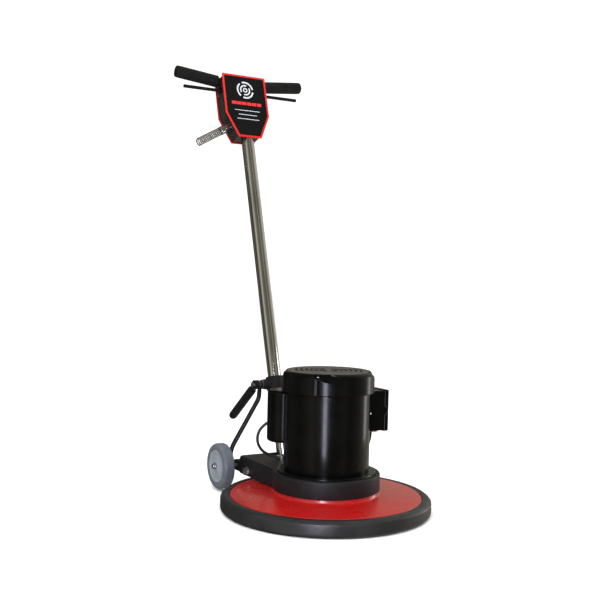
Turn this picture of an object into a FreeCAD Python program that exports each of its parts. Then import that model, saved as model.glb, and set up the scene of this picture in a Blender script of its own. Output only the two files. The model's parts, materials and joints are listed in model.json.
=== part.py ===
import FreeCAD, Part
import math
import os
import re

import Sketcher

# Rotary floor machine. Millimetres and degrees, +Z up, the front of the machine towards -Y.
# The origin is on the floor, at the middle of the machine's footprint. Places are given as
# (x, back, up): back is the distance behind the motor's axis and up is the height above the floor.
# Pieces of the handle are placed as (x, rear, along): along runs up the handle tube.

DIMENSIONS = {
    "motor_axis_y": -161,
    "shaft_clearance": 0.05,
    "wall": 2,
    # deck and bumper
    "deck_radius": 248.5,
    "deck_skin": 4,
    "deck_bore": 53,
    "deck_rim_up": 41.5,
    "deck_rim_depth": 13.5,
    "step_radius": 139,
    "step_foot_up": 48,
    "step_top_up": 57.5,
    "bumper_radius": 273,
    "bumper_up": 41,
    "bumper_chamfer": 7,
    "bumper_lip": 6,
    # chassis casting
    "ring_radius": 139.5,
    "ring_low": 58,
    "ring_up": 102,
    "ring_edge_round": 5,
    "gear_bore": 86,
    "tail_half_width": 110,
    "tail_rear": 295,
    "tail_low": 49,
    "tail_up": 96.5,
    "tail_front": 40,
    "tail_cavity_front": 146,
    "casting_wall": 6,
    "tail_edge_round": 7,
    "slot_half_width": 24,
    "slot_front": 193,
    "slot_rear": 277,
    "ear_thickness": 14,
    "ear_radius": 15,
    "pivot_back": 236,
    "pivot_up": 62,
    "pivot_radius": 6,
    "axle_back": 312,
    "axle_up": 66.5,
    "axle_radius": 6.35,
    "motor_bolt_circle": 112,
    "motor_bolt_radius": 4,
    "motor_bolt_head_radius": 6.5,
    "motor_bolt_head": 8,
    # gearbox
    "case_radius": 84,
    "case_up": 97.5,
    "case_bore": 76,
    "case_floor": 6,
    "neck_radius": 50,
    "neck_low": 38,
    "gear_module": 1.25,
    "sun_teeth": 12,
    "planet_teeth": 48,
    "ring_teeth": 108,
    "pressure_angle": 25,
    "backlash": 0.22,
    "gear_low": 72,
    "gear_width": 12,
    "planet_pin_radius": 6,
    "output_radius": 12.5,
    "carrier_radius": 50,
    "carrier_low": 66,
    "carrier_thickness": 5,
    "output_low": 26,
    "plate_radius": 62,
    "plate_thickness": 7,
    "stud_circle_radius": 50,
    "stud_radius": 6,
    "stud_length": 12,
    "output_bearing_radius": 26,
    "output_bearing_width": 15,
    # motor
    "flange_radius": 128,
    "flange_low": 98,
    "flange_up": 106.5,
    "shell_radius": 110.5,
    "shell_thickness": 3.5,
    "shell_up": 309,
    "motor_shaft_radius": 7.5,
    "motor_bearing_radius": 17.5,
    "motor_bearing_width": 11,
    "lower_bearing_low": 104,
    "upper_bearing_low": 291,
    "core_low": 150,
    "core_height": 95,
    "stator_bore": 66,
    "air_gap": 0.6,
    "stator_slot_depth": 18,
    "stator_slot_width": 7,
    "spigot_radius": 4.5,
    "fan_low": 318,
    "fan_radius": 88,
    "fan_blade_height": 22,
    "cover_radius": 120,
    "cover_up": 363,
    "cover_round": 14,
    "cover_screw_circle": 112,
    "cover_well_radius": 9,
    "vent_first_radius": 20,
    "vent_pitch": 13,
    "vent_half_slot": 2.2,
    "vent_half_field": 32,
    "cover_ledge_up": 353,
    "screw_radius": 2.4,
    "screw_head_radius": 4.6,
    "screw_head": 3,
    # capacitor and its cover, on the motor's left rear
    "capacitor_direction": 134,
    "capacitor_cover_offset": 117,
    "capacitor_cover_radius": 45,
    "capacitor_cover_low": 171,
    "capacitor_cover_height": 135.5,
    "capacitor_cover_round": 9,
    "capacitor_flange_angle": 60,
    "capacitor_radius": 16.5,
    "capacitor_height": 100,
    # terminal box, on the motor's right
    "box_outer_x": 157.5,
    "box_half_width": 42,
    "box_low": 203,
    "box_height": 105.5,
    "lid_outer_x": 161.5,
    "lid_lip": 8,
    "box_corner": 3,
    "lid_notch_radius": 13,
    # captive cable from the chassis to the terminal box
    "cable_radius": 4,
    "gland_x": -47,
    "gland_back": 186,
    "gland_rise": 10.2,
    "connector_x": 131,
    "connector_back": -8,
    "connector_radius": 8,
    "connector_clamp_reach": 18,
    "connector_clamp_half": 7,
    "connector_clamp_height": 7,
    "connector_screw_radius": 2.6,
    "connector_screw_length": 5,
    "connector_screw_head": 3,
    "gland_nose_length": 16,
    "gland_wall": 1.6,
    "gland_post_radius": 9,
    "gland_post_height": 13,
    # wheels
    "wheel_inner_x": 139,
    "wheel_width": 33,
    "wheel_radius": 63.5,
    "hub_radius": 46,
    "hub_boss_radius": 14,
    "hub_web": 20,
    "axle_half_length": 179,
    # handle
    "tube_back": 230,
    "tube_up": 100,
    "lean": 16.47,
    "tube_radius": 19.05,
    "tube_thickness": 2,
    "tube_low": -19,
    "tube_high": 1003,
    "foot_barrel_radius": 15,
    "foot_sleeve_radius": 11,
    "foot_half_length": 103.6,
    "socket_radius": 21.5,
    "socket_low": -44,
    "socket_high": -8,
    # switch box on the handle
    "plate_top": 1157.5,
    "plate_shoulder": 1028,
    "plate_bottom": 953,
    "plate_half_top": 73,
    "plate_half_shoulder": 73.5,
    "plate_half_bottom": 38.5,
    "plate_gauge": 1.5,
    "plate_corner": 4,
    "plate_front": -20.7,
    "band_front": -19.2,
    "band_depth": 53.7,
    "band_inset": 4,
    "band_wall": 2.5,
    "label_inset": 6.5,
    "label_gauge": 0.5,
    # handlebar
    "bar_along": 1131,
    "bar_rear": 7,
    "bar_radius": 12.7,
    "bar_thickness": 2,
    "bar_rise": 6.8,
    "bar_half_length": 210,
    "grip_start": 79,
    "grip_radius": 18,
    "grip_end": 4,
    "grip_round": 7,
    # trigger
    "trigger_along": 1109,
    "trigger_rear": 4,
    "trigger_radius": 5,
    "trigger_half_length": 191,
    "trigger_pin_along": 1104,
    "trigger_pin_rear": 26,
    "trigger_pin_radius": 4,
    "rocker_half_width": 9,
    # strain relief
    "relief_x": -55,
    "relief_along": 993.5,
    "relief_rear": 9,
    "relief_angle": 29.5,
    "relief_bore": 6.5,
    "relief_sleeve_radius": 11,
    "relief_hex_radius": 14.5,
    "relief_spring_radius": 10.2,
    "relief_spring_start": 36,
    "relief_wire_radius": 2,
    "relief_pitch": 6.6,
    "relief_turns": 12.5,
    # clamp, lever and strut
    "clamp_low": 185,
    "clamp_height": 38,
    "clamp_along": 202.5,
    "clamp_radius": 26,
    "clamp_fit": 0.08,
    "boss_end_x": -44,
    "boss_root_radius": 18.5,
    "boss_end_radius": 13.5,
    "clamp_stud_radius": 4,
    "washer_radius": 13.5,
    "strut_top_x": -50,
    "strut_low_x": -127.5,
    "strut_radius": 6.5,
    "strut_eye_radius": 14,
    "strut_eye_thickness": 6,
    "strut_slot_half": 6,
    "strut_low_eye_radius": 12.5,
    "lever_x": -62.6,
    "lever_half_hub": 7.2,
    "lever_hub_radius": 13,
    "lever_drop": 37,
    "lever_length": 189,
    "lever_rod_radius": 7,
    "lever_grip_start": 29,
    "lever_grip_radius": 12.5,
}

X_AXIS = FreeCAD.Vector(1, 0, 0)
Y_AXIS = FreeCAD.Vector(0, 1, 0)
Z_AXIS = FreeCAD.Vector(0, 0, 1)
ORIGIN = FreeCAD.Vector(0, 0, 0)
ALIAS = re.compile(r"[a-z][a-z0-9_]*")

doc = FreeCAD.newDocument("rotary_floor_machine")
nodes = []


# ---- the sheet, and how sizes are read from it -------------------------------------------------

def make_sheet():
    sheet = doc.addObject("Spreadsheet::Sheet", "Dims")
    for row, (alias, number) in enumerate(DIMENSIONS.items(), start=1):
        sheet.set(f"A{row}", alias)
        sheet.set(f"B{row}", str(number))
        sheet.setAlias(f"B{row}", alias)
    doc.recompute()
    return sheet


def from_sheet(formula):
    """The formula with every alias written as a cell of the sheet."""
    return ALIAS.sub(lambda m: "Dims." + m.group() if m.group() in DIMENSIONS else m.group(), str(formula))


def value(formula):
    """The number that a formula of aliases comes to."""
    result = doc.Dims.evalExpression(from_sheet(formula))
    return float(getattr(result, "Value", result))


def bind(item, **formulas):
    for name, formula in formulas.items():
        item.setExpression(name, from_sheet(formula))
    return item


def keep(item, label):
    """Names a finished sub-part; its label is the name of its file."""
    item.Label = label
    nodes.append(item)
    return item


# ---- placing ------------------------------------------------------------------------------------

def put(item, x="0", back="0", up="0", axis=Z_AXIS, angle="0"):
    """Places a piece in the machine, from the motor's axis and the floor."""
    item.Placement = FreeCAD.Placement(ORIGIN, FreeCAD.Rotation(axis, 10))
    item.setExpression("Placement.Rotation.Angle", from_sheet(angle))
    item.setExpression("Placement.Base.x", from_sheet(x))
    item.setExpression("Placement.Base.y", from_sheet(f"motor_axis_y + {back}"))
    item.setExpression("Placement.Base.z", from_sheet(up))
    return item


def put_on_handle(item, x="0", rear="0", along="0"):
    """Places a piece in the leaning frame of the handle tube."""
    back = f"tube_back + ({rear}) * cos(lean) + ({along}) * sin(lean)"
    up = f"tube_up - ({rear}) * sin(lean) + ({along}) * cos(lean)"
    return put(item, x, back, up, axis=FreeCAD.Vector(-1, 0, 0), angle="lean")


def handle_placement(x=0, rear=0, along=0, spin=None):
    """The same place as a fixed placement, for shapes made in code."""
    lean = math.radians(value("lean"))
    base = FreeCAD.Vector(
        x,
        value("motor_axis_y + tube_back") + rear * math.cos(lean) + along * math.sin(lean),
        value("tube_up") - rear * math.sin(lean) + along * math.cos(lean),
    )
    turn = FreeCAD.Rotation(X_AXIS, -value("lean"))
    return FreeCAD.Placement(base, turn.multiply(spin) if spin else turn)


# ---- making -------------------------------------------------------------------------------------

def rod(name, radius, length):
    item = doc.addObject("Part::Cylinder", name)
    return bind(item, Radius=radius, Height=length)


def cross_rod(name, radius, start_x, end_x, back, up):
    """A cylinder that lies along X between two places."""
    item = rod(name, radius, f"({end_x}) - ({start_x})")
    return put(item, start_x, back, up, axis=Y_AXIS, angle="90")


def block(name, low, high):
    """A box between two corners, each given as (x, back, up)."""
    item = doc.addObject("Part::Box", name)
    spans = [f"({b}) - ({a})" for a, b in zip(low, high)]
    bind(item, Length=spans[0], Width=spans[1], Height=spans[2])
    return put(item, *low)


def fused(name, parts):
    item = doc.addObject("Part::MultiFuse", name)
    item.Shapes = parts
    return item


def cut(name, base, tools):
    item = doc.addObject("Part::Cut", name)
    item.Base = base
    item.Tool = tools[0] if len(tools) == 1 else fused(name + "_tools", tools)
    return item


def grouped(name, parts):
    """Several separate solids that share one node."""
    item = doc.addObject("Part::Compound", name)
    item.Links = parts
    return item


def shaped(name, shape, placement=None):
    """A shape made in code."""
    item = doc.addObject("Part::Feature", name)
    item.Shape = shape
    if placement:
        item.Placement = placement
    return item


def around(count):
    return [360.0 / count * i for i in range(count)]


def sketch_on(body, role, name, offset="0"):
    sketch = body.newObject("Sketcher::SketchObject", name)
    plane = next(f for f in body.Origin.OriginFeatures if f.Role == role)
    sketch.AttachmentSupport = [(plane, "")]
    sketch.MapMode = "FlatFace"
    sketch.setExpression("AttachmentOffset.Base.z", from_sheet(offset))
    return sketch


def pin_point(sketch, edge, end, across, up):
    """Holds one point of a sketch at two formulas."""
    for kind, formula, axis in (("DistanceX", across, -2), ("DistanceY", up, -1)):
        distance = value(formula)
        if abs(distance) < 1e-9:
            sketch.addConstraint(Sketcher.Constraint("PointOnObject", edge, end, axis))
        else:
            index = sketch.addConstraint(Sketcher.Constraint(kind, -1, 1, edge, end, distance))
            sketch.setExpression(f"Constraints[{index}]", from_sheet(formula))


def draw_outline(sketch, points):
    corners = [FreeCAD.Vector(value(a), value(b), 0) for a, b in points]
    first = sketch.GeometryCount
    count = len(corners)
    for i in range(count):
        sketch.addGeometry(Part.LineSegment(corners[i], corners[(i + 1) % count]), False)
    for i in range(count):
        sketch.addConstraint(Sketcher.Constraint("Coincident", first + i, 2, first + (i + 1) % count, 1))
    for i, (across, up) in enumerate(points):
        pin_point(sketch, first + i, 1, across, up)


def draw_circle(sketch, across, up, radius):
    centre = FreeCAD.Vector(value(across), value(up), 0)
    edge = sketch.addGeometry(Part.Circle(centre, Z_AXIS, value(radius)), False)
    pin_point(sketch, edge, 3, across, up)
    index = sketch.addConstraint(Sketcher.Constraint("Radius", edge, value(radius)))
    sketch.setExpression(f"Constraints[{index}]", from_sheet(radius))


def new_body(name):
    return doc.addObject("PartDesign::Body", name)


def turned(name, section):
    """A body of revolution about its own Z axis, from (radius, height) pairs."""
    body = new_body(name)
    sketch = sketch_on(body, "XZ_Plane", name + "_section")
    draw_outline(sketch, section)
    turn = body.newObject("PartDesign::Revolution", name + "_turn")
    turn.Profile = sketch
    turn.ReferenceAxis = (sketch, ["V_Axis"])
    turn.Angle = 360
    return body


def padded(body, name, role, length, offset="0", outline=(), circles=(), middle=False, back_way=False):
    sketch = sketch_on(body, role, name + "_sketch", offset)
    if outline:
        draw_outline(sketch, outline)
    for circle in circles:
        draw_circle(sketch, *circle)
    pad = body.newObject("PartDesign::Pad", name)
    pad.Profile = sketch
    pad.Midplane = middle
    pad.Reversed = back_way
    return bind(pad, Length=length)


def pocketed(body, name, role, length, offset="0", outline=(), circles=(), middle=False, back_way=False):
    """A pocket, which has to take something away."""
    doc.recompute()
    before = body.Shape.Volume
    sketch = sketch_on(body, role, name + "_sketch", offset)
    if outline:
        draw_outline(sketch, outline)
    for circle in circles:
        draw_circle(sketch, *circle)
    pocket = body.newObject("PartDesign::Pocket", name)
    pocket.Profile = sketch
    pocket.Midplane = middle
    pocket.Reversed = back_way
    bind(pocket, Length=length)
    doc.recompute()
    if body.Shape.Volume > before - 1e-3:
        raise ValueError(f"{name} cuts nothing")
    return pocket


def rounded(body, name, radius, chosen):
    """Rounds the edges of the body's last feature for which chosen(bounding box) is true."""
    doc.recompute()
    base = body.Tip
    edges = [f"Edge{i}" for i, e in enumerate(base.Shape.Edges, start=1) if chosen(e.BoundBox)]
    fillet = body.newObject("PartDesign::Fillet", name)
    fillet.Base = (base, edges)
    return bind(fillet, Radius=radius)


def rectangle(low_x, high_x, low_y, high_y):
    return [(low_x, low_y), (high_x, low_y), (high_x, high_y), (low_x, high_y)]


def level(height):
    """Chooses the edges that lie flat at one height."""
    target = value(height)
    return lambda box: abs(box.ZMin - target) < 1e-4 and abs(box.ZMax - target) < 1e-4


# ---- deck, bumper and chassis -------------------------------------------------------------------

def make_deck():
    rim_inner = "deck_radius - deck_skin"
    body = turned("deck", [
        ("deck_bore", "step_top_up"),
        ("step_radius - 2.5", "step_top_up"),
        ("step_radius - 0.5", "step_top_up - 2.5"),
        ("step_radius", "step_foot_up"),
        ("deck_radius - 3", "deck_rim_up"),
        ("deck_radius", "deck_rim_up - 2.5"),
        ("deck_radius", "deck_rim_up - deck_rim_depth"),
        (rim_inner, "deck_rim_up - deck_rim_depth"),
        (rim_inner, "deck_rim_up - deck_skin"),
        ("step_radius - deck_skin", "step_foot_up - deck_skin"),
        ("step_radius - deck_skin", "step_top_up - deck_skin"),
        ("deck_bore", "step_top_up - deck_skin"),
    ])
    keep(put(body), "deck")


def make_bumper():
    inner = "deck_radius + 0.2"
    lip_inner = "deck_radius - bumper_lip"
    rim_low = "deck_rim_up - deck_rim_depth - 0.2"
    body = turned("bumper", [
        (inner, "bumper_up"),
        ("bumper_radius - 1.4 * bumper_chamfer", "bumper_up"),
        ("bumper_radius", "bumper_up - bumper_chamfer"),
        ("bumper_radius", "bumper_chamfer"),
        ("bumper_radius - bumper_chamfer", "0"),
        ("deck_radius + 3", "0"),
        (lip_inner, "bumper_chamfer"),
        (lip_inner, rim_low),
        (inner, rim_low),
    ])
    keep(put(body), "bumper")


def make_chassis():
    body = new_body("chassis_casting")
    padded(body, "ring", "XY_Plane", "ring_up - ring_low", "ring_low", circles=[("0", "0", "ring_radius")])
    rounded(body, "ring_top_edge", "ring_edge_round", level("ring_up"))
    tail = rectangle("-tail_half_width", "tail_half_width", "tail_front", "tail_rear")
    padded(body, "tail", "XY_Plane", "tail_up - tail_low", "tail_low", outline=tail)
    rounded(body, "tail_corners", "2 * tail_edge_round",
            lambda b: b.ZLength > 40 and b.XLength < 1e-3 and abs(b.YMin - value("tail_rear")) < 1e-3)
    side = value("tail_half_width")
    top = value("tail_up")
    rounded(body, "tail_top_edges", "tail_edge_round",
            lambda b: level("tail_up")(b) and (b.XMin < -side + 15 or b.XMax > side - 15)
            and b.YMax > value("ring_radius"))
    ear = rectangle("tail_rear - 30", "axle_back", "axle_up - ear_radius", "axle_up + ear_radius")
    padded(body, "ears", "YZ_Plane", "2 * tail_half_width", outline=ear, middle=True)
    padded(body, "ear_ends", "YZ_Plane", "2 * tail_half_width", middle=True,
           circles=[("axle_back", "axle_up", "ear_radius")])
    pocketed(body, "ear_gap", "YZ_Plane", "2 * (tail_half_width - ear_thickness)", middle=True,
             outline=rectangle("tail_rear", "axle_back + ear_radius + 1", "0", "tail_up"))
    pocketed(body, "deck_step_recess", "XY_Plane", "ring_low - tail_low + 5", "tail_low - 5",
             circles=[("0", "0", "step_radius + 1.5")], back_way=True)
    inner = "tail_half_width - casting_wall"
    pocketed(body, "tail_cavity", "XY_Plane", "tail_up - casting_wall - tail_low", "tail_low",
             outline=rectangle(f"-({inner})", inner, "tail_cavity_front", "tail_rear - casting_wall"),
             back_way=True)
    pocketed(body, "tube_slot", "XY_Plane", "2 * casting_wall", "tail_up - 1.5 * casting_wall",
             outline=rectangle("-slot_half_width", "slot_half_width", "slot_front", "slot_rear"),
             back_way=True)
    pocketed(body, "gear_case_bore", "XY_Plane", "ring_up", "tail_low",
             circles=[("0", "0", "gear_bore")], back_way=True)
    pocketed(body, "flange_seat", "XY_Plane", "ring_up - flange_low + 1", "flange_low",
             circles=[("0", "0", "flange_radius + 0.3")], back_way=True)
    pocketed(body, "cross_holes", "YZ_Plane", "3 * tail_half_width", middle=True,
             circles=[("pivot_back", "pivot_up", "pivot_radius"), ("axle_back", "axle_up", "axle_radius")])
    bolt_places = bolt_circle("motor_bolt_circle", 4)
    pocketed(body, "bolt_holes", "XY_Plane", "ring_up", "tail_low",
             circles=[(x, y, "motor_bolt_radius + 0.3") for x, y in bolt_places], back_way=True)
    pocketed(body, "bolt_heads", "XY_Plane", "motor_bolt_head + 1", "ring_low",
             circles=[(x, y, "motor_bolt_head_radius + 0.7") for x, y in bolt_places], back_way=True)
    keep(put(body), "chassis_casting")


def bolt_circle(radius, count, first=45):
    """Formulas for the centres of holes spread on a circle."""
    places = []
    for turn in around(count):
        places.append((f"({radius}) * cos({first + turn} deg)", f"({radius}) * sin({first + turn} deg)"))
    return places


def make_motor_bolts():
    bolts = []
    for i, (x, back) in enumerate(bolt_circle("motor_bolt_circle", 4)):
        shank = put(rod(f"motor_bolt_shank_{i}", "motor_bolt_radius", "flange_up - ring_low - 3"),
                    x, back, "ring_low")
        head = put(rod(f"motor_bolt_head_{i}", "motor_bolt_head_radius", "motor_bolt_head"),
                   x, back, "ring_low")
        bolts.append(fused(f"motor_bolt_{i}", [shank, head]))
    keep(grouped("motor_bolts", bolts), "motor_bolts")


def make_pivot_bolt():
    side = "tail_half_width"
    shank = cross_rod("pivot_shank", "pivot_radius", f"-({side}) - 3", f"{side} + 10",
                      "pivot_back", "pivot_up")
    washers = [
        cross_rod("pivot_washer_left", "2.1 * pivot_radius", f"-({side}) - 2", f"-({side})",
                  "pivot_back", "pivot_up"),
        cross_rod("pivot_washer_right", "2.1 * pivot_radius", side, f"{side} + 2", "pivot_back", "pivot_up"),
    ]
    heads = []
    for name, start_x in (("left", f"-({side}) - 10"), ("right", f"{side} + 2")):
        head = doc.addObject("Part::Prism", "pivot_hex_" + name)
        head.Polygon = 6
        bind(head, Circumradius="1.75 * pivot_radius", Height="8")
        heads.append(put(head, start_x, "pivot_back", "pivot_up", axis=Y_AXIS, angle="90"))
    keep(fused("pivot_bolt", [shank] + washers + heads), "pivot_bolt")


# ---- gearbox ------------------------------------------------------------------------------------

def gear_outline(teeth, tip, root, thinning):
    """Involute teeth as one closed wire; thinning is taken off each tooth at the pitch circle."""
    module = value("gear_module")
    pressure = math.radians(value("pressure_angle"))
    pitch = module * teeth / 2
    base = pitch * math.cos(pressure)
    half = math.pi / (2 * teeth) - thinning / (2 * pitch)
    spread = math.tan(pressure) - pressure
    steps = 5 if teeth < 20 else 3
    flank = []
    for i in range(steps):
        radius = root + (tip - root) * i / (steps - 1)
        roll = math.acos(min(1.0, base / max(radius, base)))
        flank.append((radius, half + spread - (math.tan(roll) - roll)))
    points = []
    for tooth in range(teeth):
        middle = 2 * math.pi * tooth / teeth
        points += [(r, middle - a) for r, a in flank]
        points += [(r, middle + a) for r, a in reversed(flank)]
    corners = [FreeCAD.Vector(r * math.cos(a), r * math.sin(a), 0) for r, a in points]
    return Part.Wire(Part.makePolygon(corners + corners[:1]))


def external_gear(teeth, width, bore):
    module = value("gear_module")
    pitch = module * teeth / 2
    wire = gear_outline(teeth, pitch + 0.92 * module, pitch - 1.25 * module, value("backlash"))
    solid = Part.Face(wire).extrude(FreeCAD.Vector(0, 0, width))
    return solid.cut(Part.makeCylinder(bore, width))


def internal_gear(teeth, width, outer):
    module = value("gear_module")
    pitch = module * teeth / 2
    space = gear_outline(teeth, pitch + 1.25 * module, pitch - 0.85 * module, -value("backlash"))
    half_space = 180.0 / teeth
    tool = Part.Face(space).extrude(FreeCAD.Vector(0, 0, width))
    tool.rotate(ORIGIN, Z_AXIS, half_space)
    return Part.makeCylinder(outer, width).cut(tool)


def motor_place(x=0, back=0, up=0, turn=0):
    base = FreeCAD.Vector(x, value("motor_axis_y") + back, up)
    return FreeCAD.Placement(base, FreeCAD.Rotation(Z_AXIS, turn))


def make_gear_case():
    seat = "output_bearing_radius"
    floor_up = "ring_low + case_floor"
    body = turned("gear_case", [
        (seat, "neck_low"),
        ("neck_radius", "neck_low"),
        ("neck_radius", "ring_low"),
        ("case_radius", "ring_low"),
        ("case_radius", "case_up"),
        ("case_bore", "case_up"),
        ("case_bore", floor_up),
        ("output_radius + 2", floor_up),
        ("output_radius + 2", "ring_low - 0.5"),
        (seat, "ring_low - 0.5"),
    ])
    keep(put(body), "gear_case")


def bearing(name, bore, outer, width):
    """Two races with a sunk shield between them."""
    race = f"({outer} - ({bore})) * 0.28"
    return turned(name, [
        (bore, "0"),
        (f"{bore} + {race}", "0"),
        (f"{bore} + {race}", "0.8"),
        (f"{outer} - {race}", "0.8"),
        (f"{outer} - {race}", "0"),
        (outer, "0"),
        (outer, width),
        (f"{outer} - {race}", width),
        (f"{outer} - {race}", f"{width} - 0.8"),
        (f"{bore} + {race}", f"{width} - 0.8"),
        (f"{bore} + {race}", width),
        (bore, width),
    ])


def make_bearings():
    motor_bore = "motor_shaft_radius + shaft_clearance"
    rings = [
        put(bearing("lower_bearing", motor_bore, "motor_bearing_radius", "motor_bearing_width"),
            up="lower_bearing_low"),
        put(bearing("upper_bearing", motor_bore, "motor_bearing_radius", "motor_bearing_width"),
            up="upper_bearing_low"),
        put(bearing("output_bearing", "output_radius + shaft_clearance", "output_bearing_radius",
                    "output_bearing_width"), up="ring_low - 1 - output_bearing_width"),
    ]
    keep(grouped("bearings", rings), "bearings")


def make_ring_gear():
    shape = internal_gear(int(value("ring_teeth")), value("gear_width") + 4, value("case_bore") - 0.05)
    keep(shaped("ring_gear", shape, motor_place(up=value("gear_low") - 2)), "ring_gear")


def make_sun_gear():
    shape = external_gear(int(value("sun_teeth")), value("gear_width"), value("spigot_radius"))
    keep(shaped("sun_gear", shape, motor_place(up=value("gear_low"))), "sun_gear")


def planet_centre_distance():
    return value("gear_module * (sun_teeth + planet_teeth) / 2")


def make_planets():
    teeth = int(value("planet_teeth"))
    bore = value("planet_pin_radius + shaft_clearance")
    distance = planet_centre_distance()
    for number, turn in enumerate(around(3), start=1):
        x = distance * math.cos(math.radians(turn))
        back = distance * math.sin(math.radians(turn))
        shape = external_gear(teeth, value("gear_width"), bore)
        place = motor_place(x, back, value("gear_low"), 180.0 / teeth)
        keep(shaped(f"planet_gear_{number}", shape, place), f"planet_gear_{number}")


def make_carrier():
    disc_up = "carrier_low + carrier_thickness"
    disc = turned("carrier_disc", [
        ("0", "output_low"),
        ("output_radius", "output_low"),
        ("output_radius", "carrier_low"),
        ("carrier_radius", "carrier_low"),
        ("carrier_radius", disc_up),
        ("0", disc_up),
    ])
    put(disc)
    pins = []
    holes = []
    circle = "gear_module * (sun_teeth + planet_teeth) / 2"
    for number, (x, back) in enumerate(bolt_circle(circle, 3, first=0), start=1):
        length = "gear_low + gear_width - carrier_low + 2"
        pins.append(put(rod(f"planet_pin_{number}", "planet_pin_radius", length),
                        x, back, "carrier_low"))
        holes.append(put(rod(f"planet_pin_hole_{number}", "planet_pin_radius", "carrier_thickness"),
                         x, back, "carrier_low"))
    keep(cut("planet_carrier", disc, holes), "planet_carrier")
    keep(grouped("planet_pins", pins), "planet_pins")


def make_drive_plate():
    body = turned("drive_disc", [
        ("output_radius", "output_low"),
        ("plate_radius", "output_low"),
        ("plate_radius", "output_low + plate_thickness"),
        ("output_radius + 10", "output_low + plate_thickness"),
        ("output_radius + 8", "neck_low - 1"),
        ("output_radius", "neck_low - 1"),
    ])
    parts = [put(body)]
    for number, (x, back) in enumerate(bolt_circle("stud_circle_radius", 3, first=90), start=1):
        parts.append(put(rod(f"drive_stud_{number}", "stud_radius", "stud_length + 1"),
                         x, back, "output_low - stud_length"))
    keep(fused("drive_plate", parts), "drive_plate")
    washer = put(rod("plate_washer", "1.5 * output_radius", "2"), up="output_low - 2")
    head = doc.addObject("Part::Prism", "plate_screw_head")
    head.Polygon = 6
    bind(head, Circumradius="9", Height="6")
    put(head, up="output_low - 8")
    keep(fused("drive_plate_screw", [washer, head]), "drive_plate_screw")


# ---- motor --------------------------------------------------------------------------------------

def make_motor_flange():
    body = turned("motor_flange_turning", [
        ("motor_shaft_radius + 1.5", "flange_low"),
        ("flange_radius", "flange_low"),
        ("flange_radius", "flange_up"),
        ("motor_bearing_radius + 12", "flange_up"),
        ("motor_bearing_radius + 8", "flange_up + 14"),
        ("motor_bearing_radius", "flange_up + 14"),
        ("motor_bearing_radius", "lower_bearing_low"),
        ("motor_shaft_radius + 1.5", "lower_bearing_low"),
    ])
    radius = value("flange_radius")
    rounded(body, "flange_edge", "3", lambda b: level("flange_up")(b) and b.XMax > radius - 1)
    put(body)
    holes = []
    for number, (x, back) in enumerate(bolt_circle("motor_bolt_circle", 4), start=1):
        holes.append(put(rod(f"flange_hole_{number}", "motor_bolt_radius", "flange_up - flange_low - 3"),
                         x, back, "flange_low"))
    keep(cut("motor_flange", body, holes), "motor_flange")


def make_motor_shell():
    inner = "shell_radius - shell_thickness"
    body = turned("motor_shell", [
        (inner, "flange_up"),
        ("shell_radius", "flange_up"),
        ("shell_radius", "shell_up"),
        (inner, "shell_up"),
    ])
    keep(put(body), "motor_shell")


def make_upper_end_bell():
    inner = "shell_radius - shell_thickness - 0.1"
    seat_up = "upper_bearing_low + motor_bearing_width"
    body = turned("upper_bell_turning", [
        ("motor_shaft_radius + 1.5", "shell_up + 5"),
        ("shell_radius", "shell_up + 5"),
        ("shell_radius", "shell_up"),
        (inner, "shell_up"),
        (inner, "shell_up - 13"),
        (f"{inner} - 7", "shell_up - 13"),
        (f"{inner} - 7", "shell_up - 6"),
        ("motor_bearing_radius + 10", "shell_up - 6"),
        ("motor_bearing_radius + 10", "upper_bearing_low - 2"),
        ("motor_bearing_radius", "upper_bearing_low - 2"),
        ("motor_bearing_radius", seat_up),
        ("motor_shaft_radius + 1.5", seat_up),
    ])
    parts = [put(body)]
    for number, (x, back) in enumerate(cover_screw_places(), start=1):
        parts.append(put(rod(f"bell_lug_{number}", "5.5", "4.5"), x, back, "shell_up + 0.5"))
    holes = []
    for number, (x, back) in enumerate(cover_screw_places(), start=1):
        holes.append(put(rod(f"bell_lug_hole_{number}", "screw_radius", "5"), x, back, "shell_up + 0.4"))
    keep(cut("upper_end_bell", fused("bell_with_lugs", parts), holes), "upper_end_bell")


def cover_screw_places():
    return bolt_circle("cover_screw_circle", 4)


def make_stator():
    body = new_body("stator_core")
    padded(body, "stator_stack", "XY_Plane", "core_height", "core_low",
           circles=[("0", "0", "shell_radius - shell_thickness - 0.1"), ("0", "0", "stator_bore")])
    pocketed(body, "stator_slot", "XY_Plane", "core_height + 2", "core_low - 1", back_way=True,
             outline=rectangle("stator_bore - 1", "stator_bore + stator_slot_depth",
                               "-stator_slot_width / 2", "stator_slot_width / 2"))
    pattern = body.newObject("PartDesign::PolarPattern", "stator_slots")
    pattern.Originals = [body.getObject("stator_slot")]
    pattern.Axis = (body.getObject("stator_slot_sketch"), ["N_Axis"])
    pattern.Angle = 360
    pattern.Occurrences = 24
    body.Tip = pattern
    keep(put(body), "stator_core")


def make_windings():
    """The end turns above and below the core, and the slot bars that join them."""
    inner = "stator_bore + 3"
    outer = "stator_bore + stator_slot_depth + 6"
    ends = []
    for name, low, high in (("low", "core_low - 24", "core_low - 0.2"),
                            ("high", "core_low + core_height + 0.2", "core_low + core_height + 24")):
        body = turned("end_turn_" + name, [
            (f"{inner} + 4", low),
            (f"{outer} - 4", low),
            (outer, f"{low} + 5"),
            (outer, f"{high} - 5"),
            (f"{outer} - 4", high),
            (f"{inner} + 4", high),
            (inner, f"{high} - 5"),
            (inner, f"{low} + 5"),
        ])
        ends.append(put(body))
    keep(grouped("stator_windings", ends), "stator_windings")


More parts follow.
